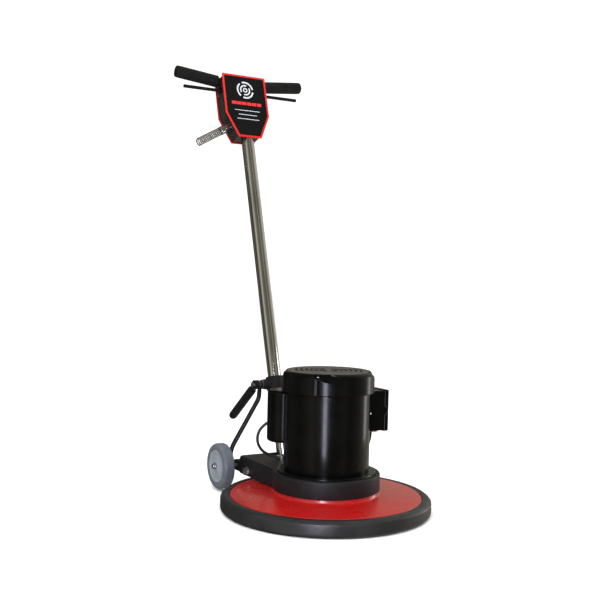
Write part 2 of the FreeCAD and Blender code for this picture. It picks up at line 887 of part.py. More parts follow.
def make_rotor():
    top = "fan_low + fan_blade_height + 2"
    radius = "motor_shaft_radius"
    shaft = turned("motor_shaft", [
        ("0", "gear_low"),
        ("spigot_radius", "gear_low"),
        ("spigot_radius", "gear_low + gear_width + 8"),
        (radius, "gear_low + gear_width + 12"),
        (radius, "lower_bearing_low + motor_bearing_width + 1"),
        (f"{radius} + 2", "lower_bearing_low + motor_bearing_width + 1"),
        (f"{radius} + 2", "upper_bearing_low - 1"),
        (radius, "upper_bearing_low - 1"),
        (radius, top),
        ("0", top),
    ])
    keep(put(shaft), "motor_shaft")
    core_top = "core_low + core_height"
    rotor_outer = "stator_bore - air_gap"
    core = turned("rotor_core", [
        (f"{radius} + 2", "core_low"),
        (f"{rotor_outer} - 22", "core_low"),
        (f"{rotor_outer} - 22", "core_low - 10"),
        (f"{rotor_outer} - 2", "core_low - 10"),
        (rotor_outer, "core_low"),
        (rotor_outer, core_top),
        (f"{rotor_outer} - 2", f"{core_top} + 10"),
        (f"{rotor_outer} - 22", f"{core_top} + 10"),
        (f"{rotor_outer} - 22", core_top),
        (f"{radius} + 2", core_top),
    ])
    keep(put(core), "rotor_core")


def make_cooling_fan():
    hub = turned("fan_hub", [
        ("motor_shaft_radius", "fan_low"),
        ("fan_radius", "fan_low"),
        ("fan_radius", "fan_low + 2.5"),
        ("16", "fan_low + 2.5"),
        ("14", "fan_low + fan_blade_height"),
        ("motor_shaft_radius", "fan_low + fan_blade_height"),
    ])
    blades = []
    for number, turn in enumerate(around(8), start=1):
        blade = doc.addObject("Part::Box", f"fan_blade_{number}")
        bind(blade, Length="fan_radius - 14", Width="2.5", Height="fan_blade_height - 2")
        put(blade, f"12 * cos({turn} deg)", f"12 * sin({turn} deg)", "fan_low + 2", angle=f"{turn}")
        blades.append(blade)
    keep(fused("cooling_fan", [put(hub)] + blades), "cooling_fan")


def vent_slots():
    """Arc-shaped slots about the cover's middle, in one field on each side of it."""
    slots = []
    half_slot = "vent_half_slot"
    for ring in range(6):
        radius = f"vent_first_radius + {ring} * vent_pitch"
        sweep = 2 * math.degrees(math.asin(min(0.97, value("vent_half_field") / value(radius))))
        for side, middle in (("a", -30), ("b", 150)):
            outer = rod(f"vent_outer_{ring}{side}", f"{radius} + {half_slot}", "10")
            outer.Angle = sweep
            inner = rod(f"vent_inner_{ring}{side}", f"{radius} - {half_slot}", "10")
            slot = cut(f"vent_slot_{ring}{side}", outer, [inner])
            slots.append(put(slot, up="cover_up - 5", angle=f"{middle - sweep / 2}"))
    return slots


def make_fan_cover():
    inner = "cover_radius - wall"
    body = turned("fan_cover_shell", [
        ("0", "cover_up"),
        ("cover_radius", "cover_up"),
        ("cover_radius", "shell_up"),
        (inner, "shell_up"),
        (inner, "cover_up - wall"),
        ("0", "cover_up - wall"),
    ])
    radius = value("cover_radius")
    inner_radius = value(inner)
    rounded(body, "cover_outer_round", "cover_round",
            lambda b: level("cover_up")(b) and b.XMax > radius - 1)
    rounded(body, "cover_inner_round", "cover_round - wall",
            lambda b: level("cover_up - wall")(b) and b.XMax > inner_radius - 1)
    ledges = []
    wells = []
    for number, (x, back) in enumerate(cover_screw_places(), start=1):
        wells.append(put(rod(f"cover_well_{number}", "cover_well_radius", "20"), x, back, "cover_ledge_up"))
        ledge = rod(f"cover_ledge_{number}", "cover_well_radius", "wall")
        ledges.append(put(ledge, x, back, "cover_ledge_up - wall"))
    inside = put(rod("cover_inside", inner, "cover_up - shell_up"), up="shell_up")
    floor = doc.addObject("Part::MultiCommon", "cover_ledges")
    floor.Shapes = [fused("cover_ledge_discs", ledges), inside]
    holes = []
    for number, (x, back) in enumerate(cover_screw_places(), start=1):
        holes.append(put(rod(f"cover_hole_{number}", "screw_radius", "10"), x, back, "cover_ledge_up - 5"))
    opened = cut("cover_with_wells", put(body), wells)
    with_ledges = fused("cover_with_ledges", [opened, floor])
    keep(cut("fan_cover", with_ledges, holes + vent_slots()), "fan_cover")


def screw(name, length):
    """A pan-headed screw: its head's underside is at its own origin and its shank hangs below."""
    shank = rod(name + "_shank", "screw_radius", length)
    shank.setExpression("Placement.Base.z", from_sheet(f"-({length})"))
    head = rod(name + "_head", "screw_head_radius", "screw_head")
    return fused(name, [shank, head])


def make_motor_cover_screws():
    screws = []
    for number, (x, back) in enumerate(cover_screw_places(), start=1):
        item = screw(f"fan_cover_screw_{number}", "cover_ledge_up - shell_up - 1")
        screws.append(put(item, x, back, "cover_ledge_up"))
    places = (("-30", "box_low + 14"), ("30", "box_low + box_height - 14"))
    for number, (back, up) in enumerate(places, start=1):
        item = screw(f"lid_screw_{number}", "6")
        screws.append(put(item, "lid_outer_x", back, up, axis=Y_AXIS, angle="90"))
    keep(grouped("motor_cover_screws", screws), "motor_cover_screws")


def make_capacitor():
    direction = "capacitor_direction"
    across = f"capacitor_cover_offset * cos({direction} * 1 deg)"
    behind = f"capacitor_cover_offset * sin({direction} * 1 deg)"
    outer = new_body("capacitor_cover_outer")
    padded(outer, "cover_drum", "XY_Plane", "capacitor_cover_height",
           circles=[("0", "0", "capacitor_cover_radius")])
    rounded(outer, "cover_drum_ends", "capacitor_cover_round", lambda b: b.ZLength < 1e-4)
    put(outer, across, behind, "capacitor_cover_low")
    inner = rod("capacitor_cover_inner", "capacitor_cover_radius - wall",
                "capacitor_cover_height - 2 * wall")
    put(inner, across, behind, "capacitor_cover_low + wall")
    sector = rod("capacitor_flange_outer", "shell_radius + 2", "capacitor_cover_height - 12")
    bind(sector, Angle="capacitor_flange_angle")
    put(sector, up="capacitor_cover_low + 6", angle="capacitor_direction - capacitor_flange_angle / 2")
    motor_body = put(rod("motor_clearance_left", "shell_radius + 0.3", "cover_up"))
    cover = fused("capacitor_cover_solid", [outer, sector])
    keep(cut("capacitor_cover", cover, [inner, motor_body]), "capacitor_cover")
    middle = "(shell_radius + capacitor_radius + 2)"
    can = rod("capacitor_can", "capacitor_radius", "capacitor_height")
    put(can, f"{middle} * cos({direction} * 1 deg)", f"{middle} * sin({direction} * 1 deg)",
        "capacitor_cover_low + 12")
    studs = []
    for number, shift in enumerate((-6, 6), start=1):
        stud = rod(f"capacitor_terminal_{number}", "2.5", "8")
        put(stud, f"{middle} * cos({direction} * 1 deg) + {shift}", f"{middle} * sin({direction} * 1 deg)",
            "capacitor_cover_low + 11 + capacitor_height")
        studs.append(stud)
    keep(fused("capacitor", [can] + studs), "capacitor")


def rounded_box(name, start_x, end_x, half, low, top):
    """A box along X whose four long edges are rounded."""
    body = new_body(name)
    outline = rectangle(f"-({half})", half, low, top)
    padded(body, name + "_pad", "YZ_Plane", f"({end_x}) - ({start_x})", start_x, outline=outline)
    rounded(body, name + "_corners", "box_corner", lambda b: b.YLength < 1e-4 and b.ZLength < 1e-4)
    return put(body)


def make_terminal_box():
    half = "box_half_width"
    top = "box_low + box_height"
    outer = rounded_box("box_outer", "80", "box_outer_x", half, "box_low", top)
    inner = block("box_inner", ("78", f"-{half} + wall", "box_low + wall"),
                  ("box_outer_x + 2", f"{half} - wall", f"{top} - wall"))
    motor_body = put(rod("motor_clearance_right", "shell_radius + 0.3", "cover_up"))
    entry = put(rod("box_entry", "connector_radius - 1", "10"),
                "connector_x", "connector_back", "box_low - 4")
    keep(cut("terminal_box", outer, [inner, motor_body, entry]), "terminal_box")
    lip = "lid_outer_x - lid_lip - 4"
    lid_outer = rounded_box("lid_outer", lip, "lid_outer_x", f"{half} + 1.6",
                            "box_low - 1.6", f"{top} + 1.6")
    lid_inner = block("lid_inner", (f"{lip} - 1", f"-{half} - 0.1", "box_low - 0.1"),
                      ("box_outer_x + 1.5", f"{half} + 0.1", f"{top} + 0.1"))
    notch = rod("lid_notch", "lid_notch_radius", "2 * box_half_width + 20")
    put(notch, f"{lip} - 4", f"-{half} - 10", "box_low + box_height / 2", axis=-X_AXIS, angle="90")
    holes = []
    for number, (back, up) in enumerate((("-30", "box_low + 14"), ("30", f"{top} - 14")), start=1):
        holes.append(cross_rod(f"lid_hole_{number}", "screw_radius",
                               "lid_outer_x - 6", "lid_outer_x + 1", back, up))
    keep(cut("terminal_box_lid", lid_outer, [lid_inner, notch] + holes), "terminal_box_lid")


# ---- captive cable ------------------------------------------------------------------------------

def tangent_route(points):
    """Straight runs joined by tangent arcs, with the radius of each arc and the length."""
    pieces = []
    radii = []
    start = points[0]
    for before, corner, after in zip(points, points[1:], points[2:]):
        run_in = corner - before
        run_out = after - corner
        turn = run_in.getAngle(run_out)
        reach = 0.45 * min(run_in.Length, run_out.Length)
        radius = reach / math.tan(turn / 2)
        radii.append(radius)
        way_in = FreeCAD.Vector(run_in).normalize()
        way_out = FreeCAD.Vector(run_out).normalize()
        first = corner - way_in * reach
        last = corner + way_out * reach
        bisector = (way_out - way_in).normalize()
        centre = corner + bisector * (radius / math.cos(turn / 2))
        middle = centre - bisector * radius
        pieces.append(Part.LineSegment(start, first).toShape())
        pieces.append(Part.Arc(first, middle, last).toShape())
        start = last
    pieces.append(Part.LineSegment(start, points[-1]).toShape())
    return Part.Wire(pieces), radii


def tube_along(points, radius):
    route, radii = tangent_route(points)
    way = FreeCAD.Vector(points[1] - points[0]).normalize()
    ring = Part.Wire(Part.Circle(points[0], way, radius).toShape())
    solid = Part.Solid(route.makePipeShell([ring], True, False))
    expected = math.pi * radius ** 2 * route.Length
    if abs(solid.Volume / expected - 1) > 0.01:
        raise ValueError("the swept tube does not fill its route")
    return solid, route.Length, radii


def cable_route():
    """From the gland on the chassis, out to the left, up, and round behind the motor."""
    points = [
        (value("gland_x"), value("gland_back"), value("tail_up") + value("gland_rise")),
        (-73, 196, 113.5),
        (-93.5, 199, 133.5),
        (-101, 199.5, 156.5),
        (-97, 197, 179.5),
        (-83.5, 191, 197),
        (-59, 187.5, 210),
        (-28.5, 180.5, 210.5),
        (4.5, 170, 202),
        (36.5, 154, 188.5),
        (65.5, 133, 173),
        (90, 108, 158),
        (108.5, 81, 147),
        (121, 53.5, 142),
        (128.5, 28, 143.5),
        (value("connector_x"), 8, 155),
        (value("connector_x"), -5, 174),
        (value("connector_x"), value("connector_back"), value("box_low") - 7),
    ]
    shift = value("motor_axis_y")
    return [FreeCAD.Vector(x, back + shift, up) for x, back, up in points]


def make_cable():
    solid, length, radii = tube_along(cable_route(), value("cable_radius"))
    print("motor cable: length", round(length), "mm, radii", [round(r) for r in radii])
    keep(shaped("motor_cable", solid), "motor_cable")


def make_gland(nose_end, way_in):
    """An elbow on the casting's top: an upright post with a short nose the cable leaves by."""
    length = value("gland_nose_length")
    foot = FreeCAD.Vector(nose_end.x + length * way_in.x, nose_end.y + length * way_in.y, value("tail_up"))
    nose = Part.makeCylinder(value("cable_radius + gland_wall"), length, nose_end, way_in)
    post = Part.makeCylinder(value("gland_post_radius"), value("gland_post_height"), foot)
    return shaped("cable_gland", nose.fuse(post).removeSplitter())


def make_cable_connector(cable_end, way_out):
    """A clamp connector: a round body that seats the cable's end, and a plate held by two screws."""
    under = value("box_low")
    depth = value("connector_radius")
    seat = Part.makeCylinder(value("cable_radius"), depth, cable_end - way_out * depth, way_out)
    reach = value("connector_clamp_reach")
    half = value("connector_clamp_half")
    plate_low = under - value("connector_clamp_height")
    body = Part.makeCylinder(value("connector_radius"), under - cable_end.z, cable_end)
    clamp = Part.makeBox(reach, 2 * half, value("connector_clamp_height"))
    clamp.translate(FreeCAD.Vector(cable_end.x, cable_end.y - half, plate_low))
    radius = value("connector_screw_radius")
    length = value("connector_screw_length")
    screw_low = plate_low - value("connector_screw_head")
    screws = []
    for share in (0.55, 0.85):
        place = FreeCAD.Vector(cable_end.x + share * reach, cable_end.y, screw_low)
        screws.append(Part.makeCylinder(radius, length, place))
    return shaped("cable_connector", body.fuse([clamp] + screws).cut(seat).removeSplitter())


def make_cable_fittings():
    """The gland on the casting, and the clamp connector under the terminal box."""
    points = cable_route()
    way_in = FreeCAD.Vector(points[0] - points[1]).normalize()
    gland = make_gland(points[0], way_in)
    way_out = FreeCAD.Vector(points[-1] - points[-2]).normalize()
    connector = make_cable_connector(points[-1], way_out)
    keep(grouped("cable_fittings", [gland, connector]), "cable_fittings")


# ---- axle and wheels ----------------------------------------------------------------------------

def make_axle():
    half = "axle_half_length"
    keep(cross_rod("axle", "axle_radius", f"-{half}", half, "axle_back", "axle_up"), "axle")
    side = "tail_half_width"
    eye = "strut_low_x"
    gap = "strut_radius + 0.4"
    spans = [
        ("-(wheel_inner_x - 0.4)", f"{eye} - ({gap})"),
        (f"{side} + 0.2", "wheel_inner_x - 0.4"),
    ]
    spacers = []
    for number, (start_x, end_x) in enumerate(spans, start=1):
        sleeve = cross_rod(f"axle_sleeve_{number}", "axle_radius + 4", start_x, end_x,
                           "axle_back", "axle_up")
        bore = cross_rod(f"axle_sleeve_bore_{number}", "axle_radius", f"{start_x} - 1", f"{end_x} + 1",
                         "axle_back", "axle_up")
        spacers.append(cut(f"axle_spacer_{number}", sleeve, [bore]))
    keep(grouped("axle_spacers", spacers), "axle_spacers")
    outer = "wheel_inner_x + wheel_width + 1"
    caps = []
    for name, start_x, end_x, bore_start, bore_end in (
            ("left", f"-({outer}) - 9", f"-({outer})", f"-{half}", "0"),
            ("right", outer, f"{outer} + 9", "0", half)):
        cap = cross_rod("axle_cap_solid_" + name, "axle_radius + 3", start_x, end_x, "axle_back", "axle_up")
        bore = cross_rod("axle_cap_bore_" + name, "axle_radius", bore_start, bore_end,
                         "axle_back", "axle_up")
        caps.append(cut("axle_cap_" + name, cap, [bore]))
    keep(grouped("axle_caps", caps), "axle_caps")


def make_wheel(side, inner_x, angle):
    """A tyre on a webbed hub; both are turned about their own Z, which points outwards."""
    width = "wheel_width"
    rim = "hub_radius"
    tyre = turned(f"{side}_wheel_tyre", [
        (rim, "2"),
        ("wheel_radius - 4", "0"),
        ("wheel_radius", "4"),
        ("wheel_radius", f"{width} - 4"),
        ("wheel_radius - 4", width),
        (rim, f"{width} - 2"),
    ])
    put(tyre, inner_x, "axle_back", "axle_up", axis=Y_AXIS, angle=angle)
    keep(tyre, f"{side}_wheel_tyre")
    bore = "axle_radius + shaft_clearance"
    web_low = "(wheel_width - hub_web) / 2"
    web_high = "(wheel_width + hub_web) / 2"
    hub = turned(f"{side}_wheel_hub", [
        (bore, "0"),
        ("hub_boss_radius", "0"),
        ("hub_boss_radius + 1.5", web_low),
        (f"{rim} - 6", web_low),
        (f"{rim} - 5", "2"),
        (rim, "2"),
        (rim, f"{width} - 2"),
        (f"{rim} - 5", f"{width} - 2"),
        (f"{rim} - 6", web_high),
        ("hub_boss_radius + 1.5", web_high),
        ("hub_boss_radius", width),
        (bore, width),
    ])
    put(hub, inner_x, "axle_back", "axle_up", axis=Y_AXIS, angle=angle)
    keep(hub, f"{side}_wheel_hub")


# ---- handle -------------------------------------------------------------------------------------

def make_handle_foot():
    """A long sleeve on the pivot bolt, with the socket that the tube is welded into."""
    half = "foot_half_length"
    sleeve = cross_rod("foot_sleeve", "foot_sleeve_radius", f"-{half}", half, "pivot_back", "pivot_up")
    barrel = cross_rod("foot_barrel", "foot_barrel_radius", "-38", "38", "pivot_back", "pivot_up")
    socket = put_on_handle(rod("foot_socket", "socket_radius", "socket_high - socket_low"),
                           along="socket_low")
    bore = cross_rod("foot_bore", "pivot_radius + shaft_clearance", f"-{half} - 1", f"{half} + 1",
                     "pivot_back", "pivot_up")
    seat = put_on_handle(rod("foot_seat", "tube_radius", "socket_high - tube_low + 1"), along="tube_low")
    keep(cut("handle_foot", fused("foot_solid", [sleeve, barrel, socket]), [bore, seat]), "handle_foot")


def make_handle_tube():
    outer = put_on_handle(rod("tube_outer", "tube_radius", "tube_high - tube_low"), along="tube_low")
    inner = put_on_handle(rod("tube_inner", "tube_radius - tube_thickness", "tube_high - tube_low + 2"),
                          along="tube_low - 1")
    keep(cut("handle_tube", outer, [inner]), "handle_tube")


def shield(inset="0"):
    """The switch box's six-sided outline, drawn in by an inset."""
    top = f"plate_top - ({inset})"
    bottom = f"plate_bottom + ({inset})"
    half_top = f"plate_half_top - ({inset})"
    half_shoulder = f"plate_half_shoulder - ({inset})"
    half_bottom = f"plate_half_bottom - 0.66 * ({inset})"
    shoulder = f"plate_shoulder + 0.22 * ({inset})"
    return [
        (f"-({half_top})", top),
        (f"-({half_shoulder})", shoulder),
        (f"-({half_bottom})", bottom),
        (half_bottom, bottom),
        (half_shoulder, shoulder),
        (half_top, top),
    ]


def plate(name, inset, front, gauge):
    body = new_body(name)
    padded(body, name + "_pad", "XZ_Plane", gauge, f"-({front})", outline=shield(inset), back_way=True)
    rounded(body, name + "_corners", "plate_corner", lambda b: b.XLength < 1e-4 and b.ZLength < 1e-4)
    return put_on_handle(body)


def bar_side(name, sign, radius, start, end):
    """One leg of the shallow V of the handlebar, along its own axis from the middle."""
    item = rod(name, radius, f"({end}) - ({start})")
    item.Placement = FreeCAD.Placement(ORIGIN, FreeCAD.Rotation(Y_AXIS * sign, 10))
    item.setExpression("Placement.Rotation.Angle", from_sheet("90 - bar_rise"))
    item.setExpression("Placement.Base.x", from_sheet(f"{sign} * ({start}) * cos(bar_rise)"))
    item.setExpression("Placement.Base.z", from_sheet(f"({start}) * sin(bar_rise)"))
    return item


def make_switch_box():
    band = new_body("switch_box_band_channel")
    padded(band, "band_outer", "XZ_Plane", "band_depth", "-(band_front)", outline=shield("band_inset"),
           back_way=True)
    rounded(band, "band_corners", "plate_corner", lambda b: b.XLength < 1e-4 and b.ZLength < 1e-4)
    pocketed(band, "band_hollow", "XZ_Plane", "band_depth + 2", "-(band_front) + 1",
             outline=shield("band_inset + band_wall"), back_way=False)
    put_on_handle(band)
    tube_hole = put_on_handle(rod("band_tube_hole", "tube_radius", "60"), along="plate_bottom - 20")
    bar_holes = fused("band_bar_holes", [
        bar_side("band_bar_hole_left", -1, "bar_radius", "50", "90"),
        bar_side("band_bar_hole_right", 1, "bar_radius", "50", "90"),
    ])
    put_on_handle(bar_holes, rear="bar_rear", along="bar_along")
    slot = block("band_trigger_slot", ("-90", "0", "0"), ("90", "14", "19"))
    put_on_handle(slot, "-90", "trigger_rear - 6.5", "trigger_along - 6.5")
    pin = handle_cross_rod("band_pin_hole", "trigger_pin_radius", "-80", "80", "trigger_pin_rear",
                           "trigger_pin_along")
    relief = relief_rod("band_relief_hole", "relief_sleeve_radius", "-12", "12")
    keep(cut("switch_box_band", band, [tube_hole, bar_holes, slot, pin, relief]), "switch_box_band")
    keep(plate("switch_box_front_cover", "0", "plate_front", "plate_gauge"), "switch_box_front_cover")
    rear_face = "band_front + band_depth"
    keep(plate("switch_box_rear_cover", "0", rear_face, "plate_gauge"), "switch_box_rear_cover")
    keep(plate("label_panel", "label_inset", "plate_front - label_gauge", "label_gauge"), "label_panel")
    screws = []
    places = [(-56, 1140), (56, 1140), (-56, 1040), (56, 1040)]
    for number, (x, along) in enumerate(places, start=1):
        head = rod(f"rear_cover_screw_{number}", "screw_head_radius", "screw_head")
        rear = value(rear_face) + value("plate_gauge")
        place = handle_placement(x, rear, along, FreeCAD.Rotation(X_AXIS, -90))
        head.Placement = place
        screws.append(head)
    keep(grouped("rear_cover_screws", screws), "rear_cover_screws")


def handle_cross_rod(name, radius, start_x, end_x, rear, along):
    """A cylinder along X at a place on the handle."""
    back = f"tube_back + ({rear}) * cos(lean) + ({along}) * sin(lean)"
    up = f"tube_up - ({rear}) * sin(lean) + ({along}) * cos(lean)"
    return cross_rod(name, radius, start_x, end_x, back, up)


def make_handlebar():
    reach = "bar_half_length"
    outer = [
        bar_side("bar_left", -1, "bar_radius", "-3", reach),
        bar_side("bar_right", 1, "bar_radius", "-3", reach),
    ]
    bore = "bar_radius - bar_thickness"
    inner = [bar_side("bar_left_bore", -1, bore, "-3", f"{reach} + 1"),
             bar_side("bar_right_bore", 1, bore, "-3", f"{reach} + 1")]
    bar = cut("handlebar", fused("bar_solid", outer), inner)
    keep(put_on_handle(bar, rear="bar_rear", along="bar_along"), "handlebar")


def make_grip(side, sign):
    end = "bar_half_length + grip_end"
    grip = turned(f"{side}_grip_sleeve", [
        ("0", end),
        ("grip_radius", end),
        ("grip_radius", "grip_start"),
        ("bar_radius + shaft_clearance", "grip_start"),
        ("bar_radius + shaft_clearance", "bar_half_length + 0.2"),
        ("0", "bar_half_length + 0.2"),
    ])
    rounded(grip, f"{side}_grip_end", "grip_round", lambda b: level(end)(b))
    spin = FreeCAD.Rotation(Y_AXIS, sign * (90 - value("bar_rise")))
    grip.Placement = handle_placement(0, value("bar_rear"), value("bar_along"), spin)
    keep(grip, f"{side}_grip")


def relief_way():
    """Which way the strain relief points: out to the left and down, in the handle's frame."""
    return FreeCAD.Rotation(Y_AXIS, -(90 + value("relief_angle")))


def relief_place(distance):
    """A place on the strain relief's axis, at a distance from the band."""
    base = handle_placement(value("relief_x"), value("relief_rear"), value("relief_along"), relief_way())
    return base.multiply(FreeCAD.Placement(Z_AXIS * distance, FreeCAD.Rotation()))


def relief_rod(name, radius, start, end):
    """A cylinder along the strain relief's axis, between two distances from the band."""
    solid = rod(name, radius, f"({end}) - ({start})")
    solid.Placement = relief_place(value(start))
    return solid


def make_strain_relief():
    sleeve = relief_rod("relief_sleeve", "relief_sleeve_radius", "-9", "relief_spring_start")
    collar = relief_rod("relief_collar", "relief_sleeve_radius + 1.8", "20", "relief_spring_start - 2")
    nut = doc.addObject("Part::Prism", "relief_hex")
    nut.Polygon = 6
    bind(nut, Circumradius="relief_hex_radius", Height="12")
    nut.Placement = relief_place(6)
    solid = fused("relief_nut_solid", [sleeve, collar, nut])
    bore = relief_rod("relief_bore_tool", "relief_bore", "-20", "60")
    keep(cut("strain_relief_nut", solid, [bore]), "strain_relief_nut")
    pitch = value("relief_pitch")
    radius = value("relief_spring_radius")
    wire = value("relief_wire_radius")
    helix = Part.makeHelix(pitch, pitch * value("relief_turns"), radius)
    section = Part.Wire(Part.Circle(X_AXIS * radius, Y_AXIS, wire).toShape())
    coil = Part.Wire(helix).makePipeShell([section], True, True)
    start = relief_place(value("relief_spring_start") + wire + 0.2)
    keep(shaped("strain_relief_spring", Part.Solid(coil), start), "strain_relief_spring")


def make_trigger():
    rear = "trigger_rear"
    along = "trigger_along"
    pin_rear = "trigger_pin_rear"
    pin_along = "trigger_pin_along"
    half = "trigger_half_length"
    width = "rocker_half_width"
    bar = handle_cross_rod("trigger_rod", "trigger_radius", f"-{half}", half, rear, along)
    barrel = handle_cross_rod("rocker_barrel", "2 * trigger_pin_radius", f"-({width})", width,
                              pin_rear, pin_along)
    arm = block("rocker_arm", (f"-({width})", "0", "0"), (width, f"{pin_rear} - {rear}", "8"))
    put_on_handle(arm, f"-({width})", rear, f"{pin_along} - 3.5")
    bore = handle_cross_rod("rocker_bore", "trigger_pin_radius + shaft_clearance", "-20", "20",
                            pin_rear, pin_along)
    keep(cut("trigger_bar", fused("trigger_solid", [bar, barrel, arm]), [bore]), "trigger_bar")
    edge = "plate_half_top - band_inset + 1.5"
    pin = handle_cross_rod("trigger_pivot_pin", "trigger_pin_radius", f"-({edge})", edge,
                           pin_rear, pin_along)
    keep(pin, "trigger_pivot_pin")
    helix = Part.makeHelix(2.4, 12, 7)
    circle = Part.Circle(FreeCAD.Vector(7, 0, 0), Y_AXIS, 0.8)
    coil = Part.Solid(Part.Wire(helix).makePipeShell([Part.Wire(circle.toShape())], True, True))
    place = handle_placement(12, value(pin_rear), value(pin_along), FreeCAD.Rotation(Y_AXIS, 90))
    keep(shaped("trigger_spring", coil, place), "trigger_spring")


def make_power_switch():
    body = block("switch_body", ("-16", "0", "0"), ("16", "20", "26"))
    put_on_handle(body, "-16", "12", "trigger_along - 44")
    button = put_on_handle(rod("switch_button", "2.5", "5"), rear="19", along="trigger_along - 18")
    rail = block("switch_bracket", ("-24", "0", "0"), ("24", "2", "34"))
    put_on_handle(rail, "-24", "32.2", "trigger_along - 48")
    keep(fused("power_switch", [body, button, rail]), "power_switch")


# ---- clamp, lever and strut ---------------------------------------------------------------------

def clamp_centre():
    """Where the clamp's stud crosses the handle, as (back, up)."""
    back = "tube_back + clamp_along * sin(lean)"
    up = "tube_up + clamp_along * cos(lean)"
    return back, up


def make_clamp():
    back, up = clamp_centre()
    sleeve = put_on_handle(rod("clamp_sleeve", "clamp_radius", "clamp_height"), along="clamp_low")
    boss = doc.addObject("Part::Cone", "clamp_boss")
    bind(boss, Radius1="boss_root_radius", Radius2="boss_end_radius", Height="-boss_end_x - 8")
    put(boss, "-8", back, up, axis=FreeCAD.Vector(0, -1, 0), angle="90")
    bore = put_on_handle(rod("clamp_bore", "tube_radius + clamp_fit", "clamp_height + 40"),
                         along="clamp_low - 20")
    stud_bore = cross_rod("clamp_stud_bore", "clamp_stud_radius", "boss_end_x - 1", "0", back, up)
    slit = block("clamp_slit", ("0", "0", "0"), ("40", "3", "60"))
    put_on_handle(slit, "10", "-1.5", "clamp_low - 10")
    keep(cut("clamp_block", fused("clamp_solid", [sleeve, boss]), [bore, stud_bore, slit]), "clamp_block")
    hub_end = "lever_x - lever_half_hub"
    stud = cross_rod("clamp_stud_shank", "clamp_stud_radius", f"{hub_end} - 3", "-tube_radius - 0.6",
                     back, up)
    inner_washer = cross_rod("clamp_washer_inner", "washer_radius", "boss_end_x - 2.2", "boss_end_x",
                             back, up)
    outer_washer = cross_rod("clamp_washer_outer", "washer_radius - 1.5", "lever_x + lever_half_hub + 0.3",
                             "strut_top_x - strut_eye_thickness / 2 - 0.5", back, up)
    cap = cross_rod("clamp_cap", "7", f"{hub_end} - 6", f"{hub_end} - 0.4", back, up)
    keep(fused("clamp_stud", [stud, inner_washer, outer_washer, cap]), "clamp_stud")


def along_lever(distance):
    """A place on the lever's axis, as (back, up)."""
    back, up = clamp_centre()
    return (f"{back} + ({distance}) * cos(lever_drop)", f"{up} - ({distance}) * sin(lever_drop)")


def lever_rod(name, radius, start, end):
    back, up = along_lever(start)
    item = rod(name, radius, f"({end}) - ({start})")
    return put(item, "lever_x", back, up, axis=FreeCAD.Vector(-1, 0, 0), angle="90 + lever_drop")


def make_lever():
    back, up = clamp_centre()
    hub = cross_rod("lever_hub", "lever_hub_radius", "lever_x - lever_half_hub", "lever_x + lever_half_hub",
                    back, up)
    arm = lever_rod("lever_arm", "lever_rod_radius", "6", "lever_length - 8")
    bore = cross_rod("lever_bore", "clamp_stud_radius + shaft_clearance", "lever_x - 20", "lever_x + 20",
                     back, up)
    keep(cut("clamp_lever", fused("lever_solid", [hub, arm]), [bore]), "clamp_lever")
    grip = turned("lever_grip_sleeve", [
        ("lever_rod_radius", "lever_grip_start"),
        ("lever_grip_radius", "lever_grip_start"),
        ("lever_grip_radius", "lever_length - 6"),
        ("lever_grip_radius - 5", "lever_length"),
        ("0", "lever_length"),
        ("0", "lever_length - 7.8"),
        ("lever_rod_radius", "lever_length - 7.8"),
    ])
    put(grip, "lever_x", back, up, axis=FreeCAD.Vector(-1, 0, 0), angle="90 + lever_drop")
    keep(grip, "lever_grip")


def make_strut():
    """A bent bar from the axle up to the clamp's stud; its upper eye is a cross slot."""
    back, up = clamp_centre()
    top = FreeCAD.Vector(value("strut_top_x"), value(f"motor_axis_y + {back}"), value(up))
    foot = FreeCAD.Vector(value("strut_low_x"), value("motor_axis_y + axle_back"), value("axle_up"))
    fall = FreeCAD.Vector(0, foot.y - top.y, foot.z - top.z)
    reach = fall.Length
    fall.normalize()
    across = FreeCAD.Vector(0, -fall.z, fall.y)
    upper = [top + fall * 17, top + fall * 40]
    lower = [foot - fall * 46, foot]
    bar, _, _ = tube_along(upper + lower, value("strut_radius"))
    thickness = value("strut_eye_thickness")
    half_slot = value("strut_slot_half")
    eye_start = top - X_AXIS * (thickness / 2)
    stem = Part.makeBox(thickness, 2 * value("strut_radius") - 1, 26)
    stem.translate(FreeCAD.Vector(-thickness / 2, -(value("strut_radius") - 0.5), -26))
    tip = math.degrees(math.atan2(fall.y, -fall.z))
    stem.rotate(ORIGIN, X_AXIS, tip)
    stem.translate(top)
    eye_radius = value("strut_eye_radius")
    parts = [bar, stem]
    slots = []
    for side in (-1, 1):
        shift = across * (side * half_slot)
        lobe = eye_start + across * (side * 3.5)
        parts.append(Part.makeCylinder(eye_radius - 3.5, thickness, lobe, X_AXIS))
        slots.append(Part.makeCylinder(value("clamp_stud_radius") + 0.9, thickness + 2,
                                       eye_start - X_AXIS + shift, X_AXIS))
    channel = Part.makeBox(thickness + 2, 2 * half_slot, 2 * (value("clamp_stud_radius") + 0.9))
    channel.translate(FreeCAD.Vector(-thickness / 2 - 1, -half_slot, -(value("clamp_stud_radius") + 0.9)))
    channel.rotate(ORIGIN, X_AXIS, tip)
    channel.translate(top)
    low_half = value("strut_radius")
    low_eye = Part.makeCylinder(value("strut_low_eye_radius"), 2 * low_half, foot - X_AXIS * low_half, X_AXIS)
    bore = Part.makeCylinder(value("axle_radius + shaft_clearance"), 4 * low_half,
                             foot - X_AXIS * (2 * low_half), X_AXIS)
    solid = parts[0].fuse(parts[1:] + [low_eye]).cut(slots + [channel, bore])
    print("strut: reach", round(reach, 1), "mm, solids", len(solid.Solids))
    keep(shaped("strut", solid), "strut")


# ---- the whole machine --------------------------------------------------------------------------

